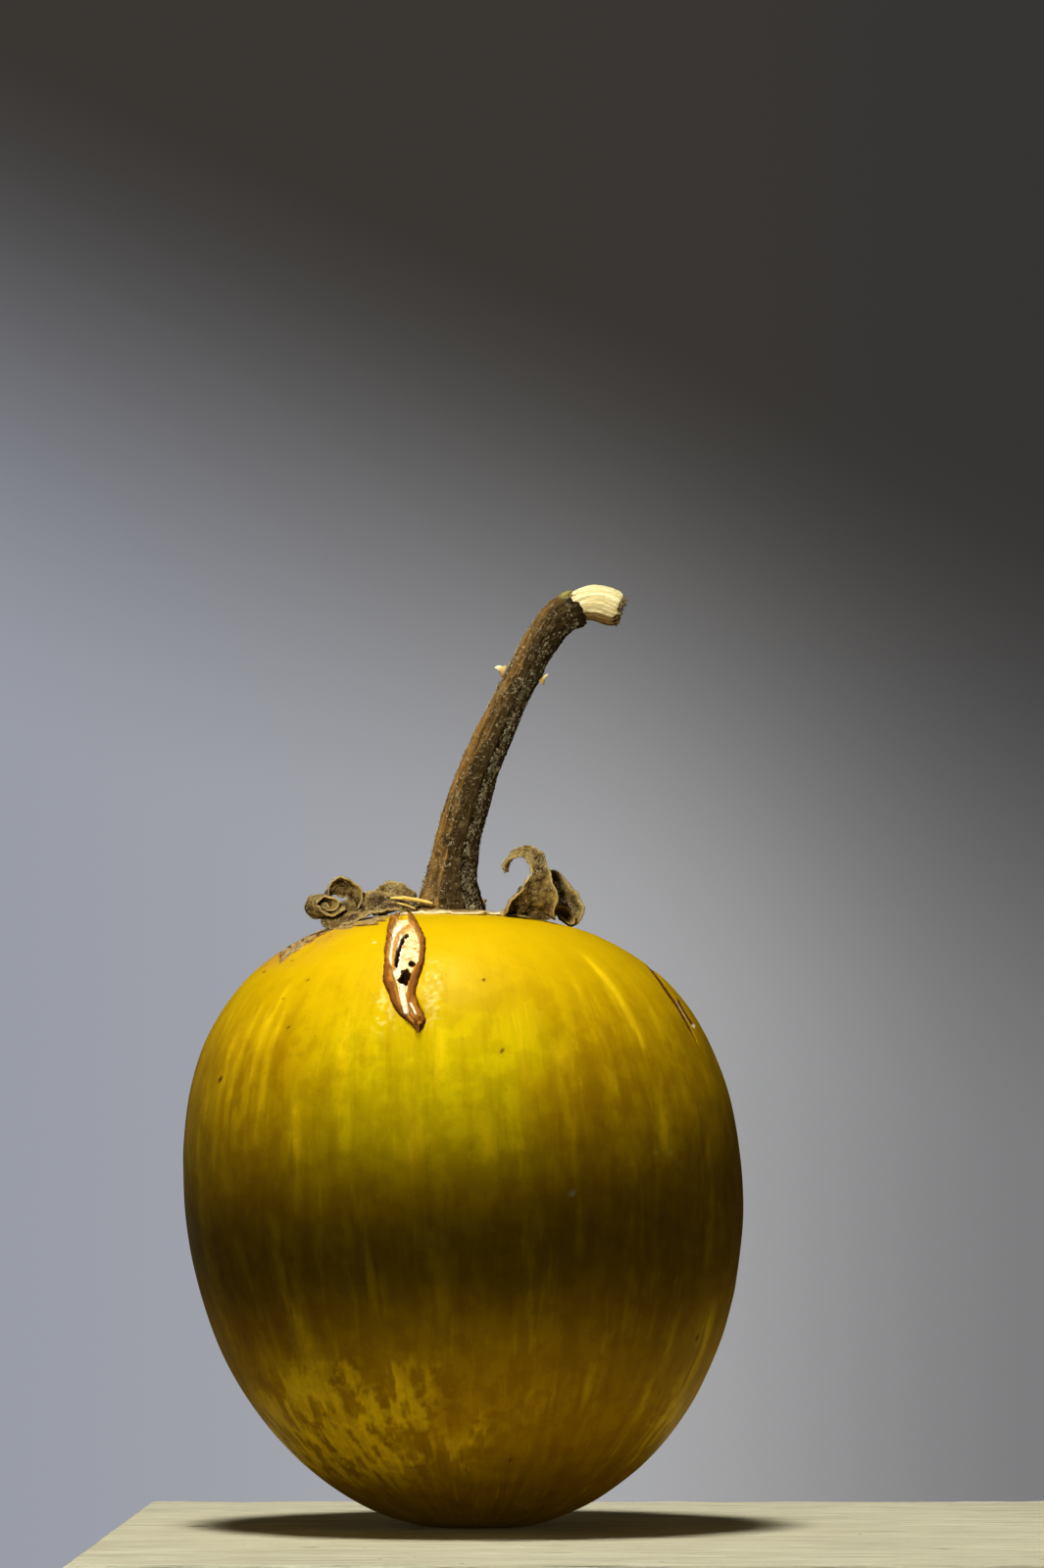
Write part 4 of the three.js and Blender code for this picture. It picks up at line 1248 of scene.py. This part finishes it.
def effect(tree, name, *values):
    """Places a shared node group, made the first time it is asked for, and gives its only output.

    The values or sockets go to the group's inputs in their order.
    """
    group = bpy.data.node_groups.get(name) or GROUP_MAKERS[name]()
    return put(tree, "Group", dict(enumerate(values)), node_tree=group).outputs[0]


def place_mm(tree):
    """Object coordinates in millimetres."""
    place = put(tree, "TexCoord").outputs["Object"]
    return put(tree, "VectorMath", {0: place, "Scale": 1 / MM}, operation="SCALE").outputs[0]


def finish_material(name, build, specular, coat=0.0, coat_roughness=0.3):
    """A material from build(tree), which gives the sockets of base colour, roughness and bump height, and
    the depth of the bump in millimetres.
    """
    found = bpy.data.materials.get(name)
    if found:
        return found
    material = bpy.data.materials.new(name)
    material.use_nodes = True
    tree = material.node_tree
    tree.nodes.clear()
    base, rough, height, depth = build(tree)
    bump = put(tree, "Bump", {"Height": height, "Distance": depth * MM, "Strength": 1.0})
    shader = put(tree, "BsdfPrincipled", {
        "Base Color": base, "Roughness": rough, "Normal": bump.outputs[0], "Specular IOR Level": specular,
        "Coat Weight": coat, "Coat Roughness": coat_roughness})
    output = put(tree, "OutputMaterial")
    tree.links.new(shader.outputs[0], output.inputs["Surface"])
    return material


def skin_material(settings):
    """Waxy skin: painted tint, fine lengthwise strands of light and dark, net-like mottle, cork and pores."""
    light = tuple(settings.streak_yellow)
    amber = tuple(settings.amber)

    def build(tree):
        place, grain, tint = place_mm(tree), vector_of(tree, "grain"), vector_of(tree, "tint")
        dry, mottled, streaky = layers_of(tree, "dry", "mottled", "streaky")
        strand = effect(tree, "Fibres", grain, 2.0, 6.0, 0.2)
        thin = effect(tree, "Fibres", grain, 0.7, 5.0, 0.22)
        slow = effect(tree, "Drift", place, 9.0, 0.2)
        broad = effect(tree, "Fibres", grain, 2.8, 6.0, 0.2)
        bright = times(tree, remap(tree, strand, 0.55, 1.0), remap(tree, thin, 0.3, 0.9), True)
        share = times(tree, bright, remap(tree, slow, 0.1, 0.9, 0.06, 0.34))
        base = mix(tree, times(tree, share, streaky), tint, light)
        dark = times(tree, remap(tree, strand, 0.5, 0.05), remap(tree, thin, 0.9, 0.2, 0.12, 0.32))
        base = over(tree, base, dark, streaky, amber)
        shade = mix(tree, 1.0, base, (0.62, 0.56, 0.5), "MULTIPLY")
        base = mix(tree, times(tree, remap(tree, broad, 0.8, 0.1, 0.0, 0.36), streaky), base, shade)
        cloud = effect(tree, "Drift", place, 2.6, 0.2)
        base = mix(tree, times(tree, remap(tree, cloud, 0.8, 0.1, 0.0, 0.34), streaky), base, shade)
        net = effect(tree, "Drift", place, 1.3, 0.07)
        blotch = effect(tree, "Drift", place, 4.0, 0.12)
        fleck = times(tree, times(tree, net, blotch), mottled)
        base = over(tree, base, fleck, 0.5, light)
        pores = effect(tree, "Specks", place, 2.3, 0.05, 0.4)
        base = over(tree, base, pores, 0.55, (0.2, 0.08, 0.01))
        scales = effect(tree, "Drift", place, 0.5, 0.12)
        worn = mix(tree, remap(tree, scales, 0.0, 1.0, 0.55, 1.0), (0.0, 0.0, 0.0), base)
        base = mix(tree, dry, base, worn)
        smooth = remap(tree, slow, 0.0, 1.0, 0.4, 0.47)
        rough = plus(tree, smooth, times(tree, dry, 0.4), True)
        skin_grain = effect(tree, "Grain", place, 0.5)
        strands = times(tree, thin, 0.12)
        return base, rough, plus(tree, skin_grain, strands), 0.035

    return finish_material("Waxy Streaked Skin", build, specular=0.1)


def scar_material():
    """Healed crack: painted lips and flesh with fine granular tone and bump."""

    def build(tree):
        place, tint = place_mm(tree), vector_of(tree, "tint")
        grains = effect(tree, "Drift", place, 0.28, 0.16)
        base = mix(tree, remap(tree, grains, 0.0, 1.0, 0.3, 0.0), tint, (0.28, 0.15, 0.04))
        pits = effect(tree, "Specks", place, 0.5, 0.16, 0.3)
        base = over(tree, base, pits, 0.6, DARK_BROWN)
        rough = remap(tree, grains, 0.0, 1.0, 0.5, 0.72)
        return base, rough, effect(tree, "Grain", place, 0.22), 0.12

    return finish_material("Healed Crack", build, specular=0.0)


def bark_material(settings):
    """Bark: dark and golden fibres, painted light on its left and upper side and painted shade on the other
    side and in the furrows, grey-green scurf and pale warts.
    """
    dark, golden = tuple(settings.bark_dark), tuple(settings.bark_golden)

    def build(tree):
        place, run = place_mm(tree), vector_of(tree, "run")
        fibre, hollow, gold = layers_of(tree, "fibre", "hollow", "golden")
        scorched, pale, wart = layers_of(tree, "scorched", "pale", "wart")
        strand = effect(tree, "Fibres", run, 0.3, 11.0, 0.2)
        hair = effect(tree, "Fibres", run, 0.12, 14.0, 0.25)
        tone = times(tree, plus(tree, strand, fibre), 0.5)
        # Painted side light: the tone is raised on the lit left side and lowered on the shaded right side.
        tone = times(tree, tone, remap(tree, gold, 0.1, 0.9, 0.22, 1.2))
        base = mix(tree, remap(tree, tone, 0.15, 0.8), dark, golden)
        base = over(tree, base, hair, 0.25, (0.3, 0.22, 0.1))
        # Painted shade in the furrows.
        base = over(tree, base, hollow, 0.75, (0.045, 0.032, 0.018))
        scurf = effect(tree, "Specks", place, 0.34, 0.3, 0.5)
        patches = effect(tree, "Drift", place, 2.2, 0.12)
        scurf_share = times(tree, scurf, remap(tree, patches, 0.2, 0.8, 0.15, 0.75))
        base = mix(tree, scurf_share, base, (0.3, 0.27, 0.19))
        base = over(tree, base, wart, 0.45, (0.24, 0.19, 0.1))
        soot = effect(tree, "Specks", place, 0.3, 0.26, 0.5)
        base = over(tree, base, soot, 0.6, (0.04, 0.026, 0.013))
        base = mix(tree, scorched, base, (0.035, 0.026, 0.016))
        base = over(tree, base, pale, 0.8, (0.42, 0.38, 0.13))
        rough = remap(tree, strand, 0.0, 1.0, 0.72, 0.9)
        grain = effect(tree, "Grain", place, 0.25)
        return base, rough, plus(tree, grain, strand), 0.12

    return finish_material("Dry Bark", build, specular=0.25)


def wood_material(settings):
    """Bared wood: pale cream with golden and brown strands, an underside painted darker, partly its own
    brown and partly painted shade, and a dark torn end.
    """
    cream = tuple(settings.wood_cream)

    def build(tree):
        place, run = place_mm(tree), vector_of(tree, "run")
        fibre, under, torn = layers_of(tree, "fibre", "under", "torn")
        strand = effect(tree, "Fibres", run, 0.16, 30.0, 0.16)
        broad = effect(tree, "Fibres", run, 0.8, 18.0, 0.16)
        base = mix(tree, remap(tree, strand, 0.75, 0.1), cream, (0.62, 0.52, 0.27))
        base = mix(tree, remap(tree, broad, 0.6, 1.0, 0.0, 0.6), base, (0.6, 0.47, 0.23))
        base = mix(tree, remap(tree, fibre, 0.3, 0.0, 0.0, 0.45), base, (0.36, 0.23, 0.08))
        # The underside painted darker: partly the wood's own brown, partly painted shade.
        base = over(tree, base, under, 0.9, (0.3, 0.19, 0.08))
        specks = effect(tree, "Drift", place, 0.4, 0.1)
        base = mix(tree, times(tree, torn, remap(tree, specks, 0.2, 0.8, 0.25, 0.9)), base,
                   (0.2, 0.11, 0.04))
        rough = remap(tree, strand, 0.0, 1.0, 0.75, 0.6)
        grain = effect(tree, "Grain", place, 0.2)
        return base, rough, plus(tree, strand, grain), 0.07

    return finish_material("Bared Wood", build, specular=0.3)


def dry_leaf_material(name, dark, light, edge_colour):
    """Dried leaf: blotches between a dark and a light brown, pale margins, grey-gold scurf and fine grain."""

    def build(tree):
        place = place_mm(tree)
        tone, edge = layers_of(tree, "tone", "edge")
        blotch = effect(tree, "Drift", place, 1.3, 0.16)
        share = times(tree, plus(tree, blotch, tone), 0.5)
        base = mix(tree, remap(tree, share, 0.2, 0.8), dark, light)
        scurf = effect(tree, "Specks", place, 0.36, 0.36, 0.4)
        base = over(tree, base, scurf, 0.5, (0.4, 0.32, 0.16))
        soot = effect(tree, "Specks", place, 0.4, 0.3, 0.4)
        base = over(tree, base, soot, 0.6, dark)
        base = over(tree, base, edge, 0.75, edge_colour)
        rough = remap(tree, blotch, 0.0, 1.0, 0.7, 0.88)
        return base, rough, effect(tree, "Grain", place, 0.22), 0.14

    return finish_material(name, build, specular=0.25)


def prickle_material():
    """Prickle: brown at its foot and pale straw towards its tip, with a faint grain."""

    def build(tree):
        place, [tipward] = place_mm(tree), layers_of(tree, "tipward")
        drift = effect(tree, "Drift", place, 0.5, 0.2)
        base = mix(tree, remap(tree, tipward, 0.05, 0.6), (0.5, 0.36, 0.15), (0.88, 0.78, 0.5))
        base = over(tree, base, drift, 0.3, (0.4, 0.25, 0.09))
        rough = remap(tree, drift, 0.0, 1.0, 0.5, 0.65)
        return base, rough, effect(tree, "Grain", place, 0.15), 0.03

    return finish_material("Horny Prickle", build, specular=0.4)


def hair_material(name, dark, pale):
    """Plant hairs and fibres: tone drifts from dark to pale over the piece, with a fine grain."""

    def build(tree):
        place = place_mm(tree)
        drift = effect(tree, "Drift", place, 1.0, 0.16)
        base = mix(tree, drift, dark, pale)
        rough = remap(tree, drift, 0.0, 1.0, 0.75, 0.9)
        return base, rough, effect(tree, "Grain", place, 0.2), 0.02

    return finish_material(name, build, specular=0.2)


def board_material(settings):
    """Pale rough board: cream with long grey-brown strands, scattered dark specks and a fine grain."""
    cream = tuple(settings.board_cream)

    def build(tree):
        place = place_mm(tree)
        turned = put(tree, "Mapping", {"Vector": place, "Rotation": (0, math.pi / 2, 0)}).outputs[0]
        strand = effect(tree, "Fibres", turned, 1.2, 22.0, 0.2)
        base = mix(tree, remap(tree, strand, 0.3, 1.0, 0.0, 0.4), cream, (0.5, 0.45, 0.34))
        fine = effect(tree, "Fibres", turned, 0.45, 30.0, 0.2)
        base = mix(tree, remap(tree, fine, 0.45, 1.0, 0.0, 0.45), base, (0.46, 0.42, 0.27))
        knots = effect(tree, "Specks", place, 17.0, 0.1, 0.5)
        base = over(tree, base, knots, 0.7, (0.32, 0.25, 0.13))
        specks = effect(tree, "Specks", place, 5.0, 0.07, 0.5)
        base = over(tree, base, specks, 0.6, (0.3, 0.26, 0.2))
        bounced = times(tree, put(tree, "LightPath").outputs["Is Diffuse Ray"], 0.75)
        base = mix(tree, bounced, base, (0.05, 0.045, 0.035))
        rough = remap(tree, strand, 0.0, 1.0, 0.7, 0.85)
        grain = effect(tree, "Grain", place, 0.8)
        return base, rough, plus(tree, grain, fine), 0.2

    return finish_material("Pale Board", build, specular=0.3)


# Stage -----------------------------------------------------------------------------------------------


# Places and sizes in millimetres, turns and cones in degrees.
BOARD_LOW = (-40.3, -74.3)
BOARD_HIGH = (150.0, 61.0)
BOARD_THICKNESS = 16.0
BOARD_WEAR = 1.2
KEY_PLACE, KEY_AIM, KEY_SIZE = (-60, -85, 755), (0, 0, 60), 130
SPOT_PLACE, SPOT_AIM = (-90, -465, 172), (-6, 0, 107)
GLOW_TURNS = (15, 75, 135, 195, 240, 270, 300, 345)
GLOW_REACH = 300
GLOW_HEIGHT = 11
GLOW_CONE = 8.4
CAMERA_TILT = 4.57
SENSOR_WIDTH = 36


def board_body():
    """The board under the fruit: a box with softly worn edges, whose top is z = 0 with fine unevenness.

    Its top is a grid; at the rim each point drops by the worn edge's quarter circle,
    wear - sqrt(wear^2 - (wear - inset)^2). The top is level under the fruit's foot.
    """
    low, high, wear = BOARD_LOW, BOARD_HIGH, BOARD_WEAR
    x = uneven(low[0], high[0], 180, [(low[0], 3, 6), (high[0], 3, 6)])[:, None]
    y = uneven(low[1], high[1], 130, [(low[1], 3, 6), (high[1], 3, 6)])[None, :]
    x, y = np.broadcast_arrays(x, y)
    inset = np.minimum(np.minimum(x - low[0], high[0] - x), np.minimum(y - low[1], high[1] - y))
    drop = wear - np.sqrt(np.maximum(wear**2 - np.maximum(wear - inset, 0) ** 2, 0))
    flat = np.stack([x, y, 0 * x], axis=-1)
    uneven_top = 0.07 * layered_noise(flat * (0.3, 1, 1), 1.6, 1201) - 0.09
    near_foot = ramp(14, 5, np.hypot(x, y))
    top = np.stack([x, y, uneven_top * (1 - near_foot) - 0.02 - drop], axis=-1)
    bottom = np.stack([x, y, 0 * x - BOARD_THICKNESS], axis=-1)
    rings = np.concatenate([top, bottom[:, ::-1]], axis=1)
    return skinned(rings)


def studio_world(settings):
    """Backdrop of the studio, grey below and darker above and to the right, for what looks at it or
    mirrors it, and a weak even light for everything else.
    """
    world = bpy.data.worlds.new("Studio")
    bpy.context.scene.world = world
    world.use_nodes = True
    tree = world.node_tree
    tree.nodes.clear()
    way = put(tree, "SeparateXYZ", {0: put(tree, "TexCoord").outputs["Generated"]})
    slanted = plus(tree, way.outputs["Z"], times(tree, way.outputs["X"], 0.42))
    lower = mix(tree, remap(tree, way.outputs["X"], -0.1, 0.04), (0.28, 0.29, 0.325), (0.34, 0.34, 0.345))
    grey = mix(tree, remap(tree, slanted, 0.045, 0.174), lower, (0.06, 0.055, 0.05))
    grey = mix(tree, remap(tree, way.outputs["X"], 0.0, 0.1, 0.0, 0.5), grey, (0.05, 0.05, 0.052))
    shine = put(tree, "LightPath").outputs["Is Glossy Ray"]
    strength = remap(tree, shine, 0.0, 1.0, settings.backdrop_strength, 0.4 * settings.backdrop_strength)
    seen = put(tree, "Background", {"Color": grey, "Strength": strength})
    ambient = put(tree, "Background", {"Color": (1, 0.97, 0.92, 1), "Strength": settings.ambient_strength})
    is_diffuse = put(tree, "LightPath").outputs["Is Diffuse Ray"]
    both = put(tree, "MixShader", {0: is_diffuse, 1: seen.outputs[0], 2: ambient.outputs[0]})
    output = put(tree, "OutputWorld")
    tree.links.new(both.outputs[0], output.inputs["Surface"])


def add_lamp(name, kind, place, aim, power, tone):
    """A light at a place, in millimetres, that points at another; gives the object for what else it needs."""
    data = bpy.data.lights.new(name, kind)
    data.energy = power
    data.color = tone
    lamp = bpy.data.objects.new(name, data)
    bpy.context.scene.collection.objects.link(lamp)
    lamp.location = Vector(place) * MM
    lamp.rotation_euler = (Vector(aim) - Vector(place)).to_track_quat("-Z", "Y").to_euler()
    return lamp


def key_light(power):
    """The overhead light: a square soft light high above, a little to the left and the front."""
    lamp = add_lamp("key", "AREA", KEY_PLACE, KEY_AIM, power, (1, 0.97, 0.9))
    lamp.data.size = KEY_SIZE * MM


def add_spot(name, place, aim, cone, edge, softness, power, tone):
    """A soft-edged spot, unseen in reflections: its cone is in degrees and its softness in millimetres."""
    lamp = add_lamp(name, "SPOT", place, aim, power, tone)
    lamp.data.spot_size = math.radians(cone)
    lamp.data.spot_blend = edge
    lamp.data.shadow_soft_size = softness * MM
    lamp.visible_glossy = False


def front_spot(power):
    """The spot on the stalk and on the fruit's upper front, whose soft lower edge crosses the fruit."""
    add_spot("front_spot", SPOT_PLACE, SPOT_AIM, 16, 0.3, 20, power, (1, 0.97, 0.86))


def low_glow(power):
    """Light thrown up by the board: a ring of level, soft-edged spots that reach only the lower sides."""
    for degrees in GLOW_TURNS:
        azimuth = math.radians(degrees)
        place = (GLOW_REACH * math.cos(azimuth), GLOW_REACH * math.sin(azimuth), GLOW_HEIGHT)
        add_spot(f"low_glow_{degrees}", place, (0, 0, GLOW_HEIGHT), GLOW_CONE, 1.0, 4, power, (1, 0.9, 0.72))


# Settings --------------------------------------------------------------------------------------------


def colour_setting(name, description, default):
    """A colour among the settings."""
    return FloatVectorProperty(
        name=name, description=description, default=default, size=3, min=0, max=1, subtype="COLOR")


class FruitSettings(PropertyGroup):
    """Sizes and colours of the fruit."""

    sides: IntProperty(name="Sides", description="Points round the fruit", default=400, min=60, max=400)
    rings: IntProperty(name="Rings", description="Rings from foot to crown", default=246, min=40, max=246)
    bright_yellow: colour_setting("Bright yellow", "Skin near the crown", (0.59, 0.412, 0.002))
    green_yellow: colour_setting("Green yellow", "Skin on the middle of the front", (0.74, 0.6, 0.003))
    amber: colour_setting("Amber", "Skin on the sides and below", (0.53, 0.33, 0.004))
    streak_yellow: colour_setting("Streak yellow", "Light streaks and mottle", (0.94, 0.69, 0.02))


class DryPartSettings(PropertyGroup):
    """Colours of the stalk, calyx and sepals, and their fuzz."""

    bark_dark: colour_setting("Dark bark", "Bark in the shade of its fibres", (0.041, 0.026, 0.012))
    bark_golden: colour_setting("Golden bark", "Bark on its fibres", (0.33, 0.2, 0.066))
    wood_cream: colour_setting("Cream wood", "Bared wood at the stalk's end", (0.82, 0.75, 0.49))
    sepal_dark: colour_setting("Dark sepal", "Folds of the dried sepals", (0.06, 0.038, 0.017))
    sepal_light: colour_setting("Light sepal", "Outer faces of the dried sepals", (0.27, 0.2, 0.085))
    calyx_rim: colour_setting("Calyx rim", "Papery rim of the calyx and its slivers", (0.78, 0.7, 0.46))
    hair_length: FloatProperty(
        name="Hair length", description="Length of the star-shaped tufts' hairs, in millimetres",
        default=0.36, min=0.05, max=1)
    stalk_tufts: IntProperty(
        name="Stalk tufts", description="Tufts on the bark", default=4000, min=0, max=6000)
    sepal_tufts: IntProperty(
        name="Sepal tufts", description="Tufts on a sepal", default=800, min=0, max=2000)


class StageSettings(PropertyGroup):
    """Light, backdrop, board and camera."""

    key_power: FloatProperty(
        name="Key power", description="Power of the overhead soft light", default=3.5, unit="POWER")
    spot_power: FloatProperty(
        name="Spot power", description="Power of the spot on the upper front", default=7.3, unit="POWER")
    glow_power: FloatProperty(
        name="Board glow", description="Power of each light that stands for the board's glow", default=0.36,
        unit="POWER")
    ambient_strength: FloatProperty(
        name="Ambient", description="Strength of the even light from all round", default=0.055, min=0)
    backdrop_strength: FloatProperty(
        name="Backdrop", description="Brightness of the backdrop", default=1.0, min=0)
    board_cream: colour_setting("Board", "Painted board under the fruit", (0.93, 0.91, 0.72))
    lens: FloatProperty(
        name="Lens", description="Focal length of the camera, in millimetres", default=128.25, unit="CAMERA")


# Operators -------------------------------------------------------------------------------------------


class EGGPLANT_OT_fruit(Operator):
    """Build the fruit with its streaks, cracks and cork"""

    bl_idname = "eggplant.fruit"
    bl_label = "Fruit"

    def execute(self, context):
        settings = context.scene.eggplant_fruit
        add_piece("fruit_skin", fruit_body(settings), skin_material(settings), ["fruit"])
        return {"FINISHED"}


class EGGPLANT_OT_marks(Operator):
    """Build the healed growth crack and the cork flakes of the shoulder"""

    bl_idname = "eggplant.marks"
    bl_label = "Healed crack and cork"

    def execute(self, context):
        add_piece("growth_crack", scar_body(), scar_material())
        flake = dry_leaf_material("Cork Flakes", (0.16, 0.09, 0.035), CORK_TAN, (0.5, 0.4, 0.22))
        body = cork_flakes_body()
        ones = np.full(len(body[0]), 0.5)
        add_piece("cork_flakes", (body[0], body[1], {"tone": ones, "edge": 0 * ones}), flake)
        return {"FINISHED"}


class EGGPLANT_OT_calyx(Operator):
    """Build the calyx disc and its dry slivers"""

    bl_idname = "eggplant.calyx"
    bl_label = "Calyx"

    def execute(self, context):
        settings = context.scene.eggplant_dry
        rim = dry_leaf_material(
            "Papery Calyx", (0.2, 0.13, 0.06), tuple(settings.sepal_light), tuple(settings.calyx_rim))
        add_piece("calyx_disc", calyx_body(), rim, ["calyx"])
        sliver = dry_leaf_material("Dry Sliver", (0.4, 0.28, 0.08), (0.66, 0.5, 0.16), (0.74, 0.58, 0.2))
        add_piece("calyx_slivers", slivers_body(), sliver)
        return {"FINISHED"}


class EGGPLANT_OT_sepals(Operator):
    """Build the five curled sepals and their fuzz"""

    bl_idname = "eggplant.sepals"
    bl_label = "Sepals"

    def execute(self, context):
        settings = context.scene.eggplant_dry
        leaf = dry_leaf_material(
            "Dried Sepal", tuple(settings.sepal_dark), tuple(settings.sepal_light), (0.48, 0.38, 0.18))
        for number, (name, strips) in enumerate(SEPALS.items()):
            add_piece(name + "_leaf", sepal_body(strips, sepal_seed(number)), leaf, [name])
        hair = hair_material("Sepal Hairs", (0.26, 0.2, 0.1), (0.7, 0.6, 0.4))
        add_piece("sepal_hairs", sepal_fuzz_body(settings), hair)
        return {"FINISHED"}


class EGGPLANT_OT_stalk(Operator):
    """Build the bark, the bared wood, the prickles and the stalk's hairs and fibres"""

    bl_idname = "eggplant.stalk"
    bl_label = "Stalk"

    def execute(self, context):
        settings = context.scene.eggplant_dry
        add_piece("stalk_bark", bark_body(), bark_material(settings), ["stalk"])
        add_piece("bared_wood", wood_body(), wood_material(settings), ["stalk_wood_tip"])
        for name, foot, tip, radius in PRICKLES:
            add_piece(name + "_horn", prickle_body(foot, tip, radius), prickle_material(), [name])
        hair = hair_material("Stalk Hairs", (0.26, 0.22, 0.13), (0.66, 0.61, 0.45))
        add_piece("stalk_hairs", stalk_fuzz_body(settings), hair)
        fibre = hair_material("Torn Fibres", (0.1, 0.055, 0.02), (0.45, 0.3, 0.1))
        add_piece("torn_fibres", torn_fibres_body(), fibre)
        return {"FINISHED"}


class EGGPLANT_OT_stage(Operator):
    """Build the board, the lights, the backdrop and the camera"""

    bl_idname = "eggplant.stage"
    bl_label = "Stage"

    def execute(self, context):
        scene = context.scene
        settings = scene.eggplant_stage
        scene.view_settings.view_transform = "Standard"
        scene.view_settings.look = "High Contrast"
        board = mesh_object("board", board_body(), board_material(settings))
        studio_world(settings)
        key_light(settings.key_power)
        front_spot(settings.spot_power)
        low_glow(settings.glow_power)
        data = bpy.data.cameras.new("camera")
        data.lens = settings.lens
        data.sensor_width = SENSOR_WIDTH
        camera = bpy.data.objects.new("camera", data)
        camera.location = EYE * MM
        camera.rotation_euler = (math.radians(90 + CAMERA_TILT), 0, 0)
        scene.collection.objects.link(camera)
        scene.camera = camera
        return {"FINISHED"}


OPERATORS = (
    EGGPLANT_OT_fruit, EGGPLANT_OT_marks, EGGPLANT_OT_calyx, EGGPLANT_OT_sepals, EGGPLANT_OT_stalk,
    EGGPLANT_OT_stage,
)
SETTINGS = {"eggplant_fruit": FruitSettings, "eggplant_dry": DryPartSettings, "eggplant_stage": StageSettings}


class EGGPLANT_PT_sidebar(Panel):
    """Lists the eggplant's pieces and their settings"""

    bl_idname = "EGGPLANT_PT_sidebar"
    bl_label = "Eggplant"
    bl_space_type = "VIEW_3D"
    bl_region_type = "UI"
    bl_category = "Eggplant"

    def draw(self, context):
        for attribute, kind in SETTINGS.items():
            box = self.layout.box()
            for name in kind.__annotations__:
                box.prop(getattr(context.scene, attribute), name)
        for operator in OPERATORS:
            self.layout.operator(operator.bl_idname)


def register():
    for cls in (*SETTINGS.values(), *OPERATORS, EGGPLANT_PT_sidebar):
        bpy.utils.register_class(cls)
    for attribute, kind in SETTINGS.items():
        setattr(bpy.types.Scene, attribute, PointerProperty(type=kind))


def unregister():
    for attribute in SETTINGS:
        delattr(bpy.types.Scene, attribute)
    for cls in (EGGPLANT_PT_sidebar, *OPERATORS, *SETTINGS.values()):
        bpy.utils.unregister_class(cls)


def main():
    """Registers the add-on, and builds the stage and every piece."""
    register()
    bpy.ops.eggplant.stage()
    bpy.ops.eggplant.fruit()
    bpy.ops.eggplant.marks()
    bpy.ops.eggplant.calyx()
    bpy.ops.eggplant.sepals()
    bpy.ops.eggplant.stalk()


if __name__ == "__main__":
    main()
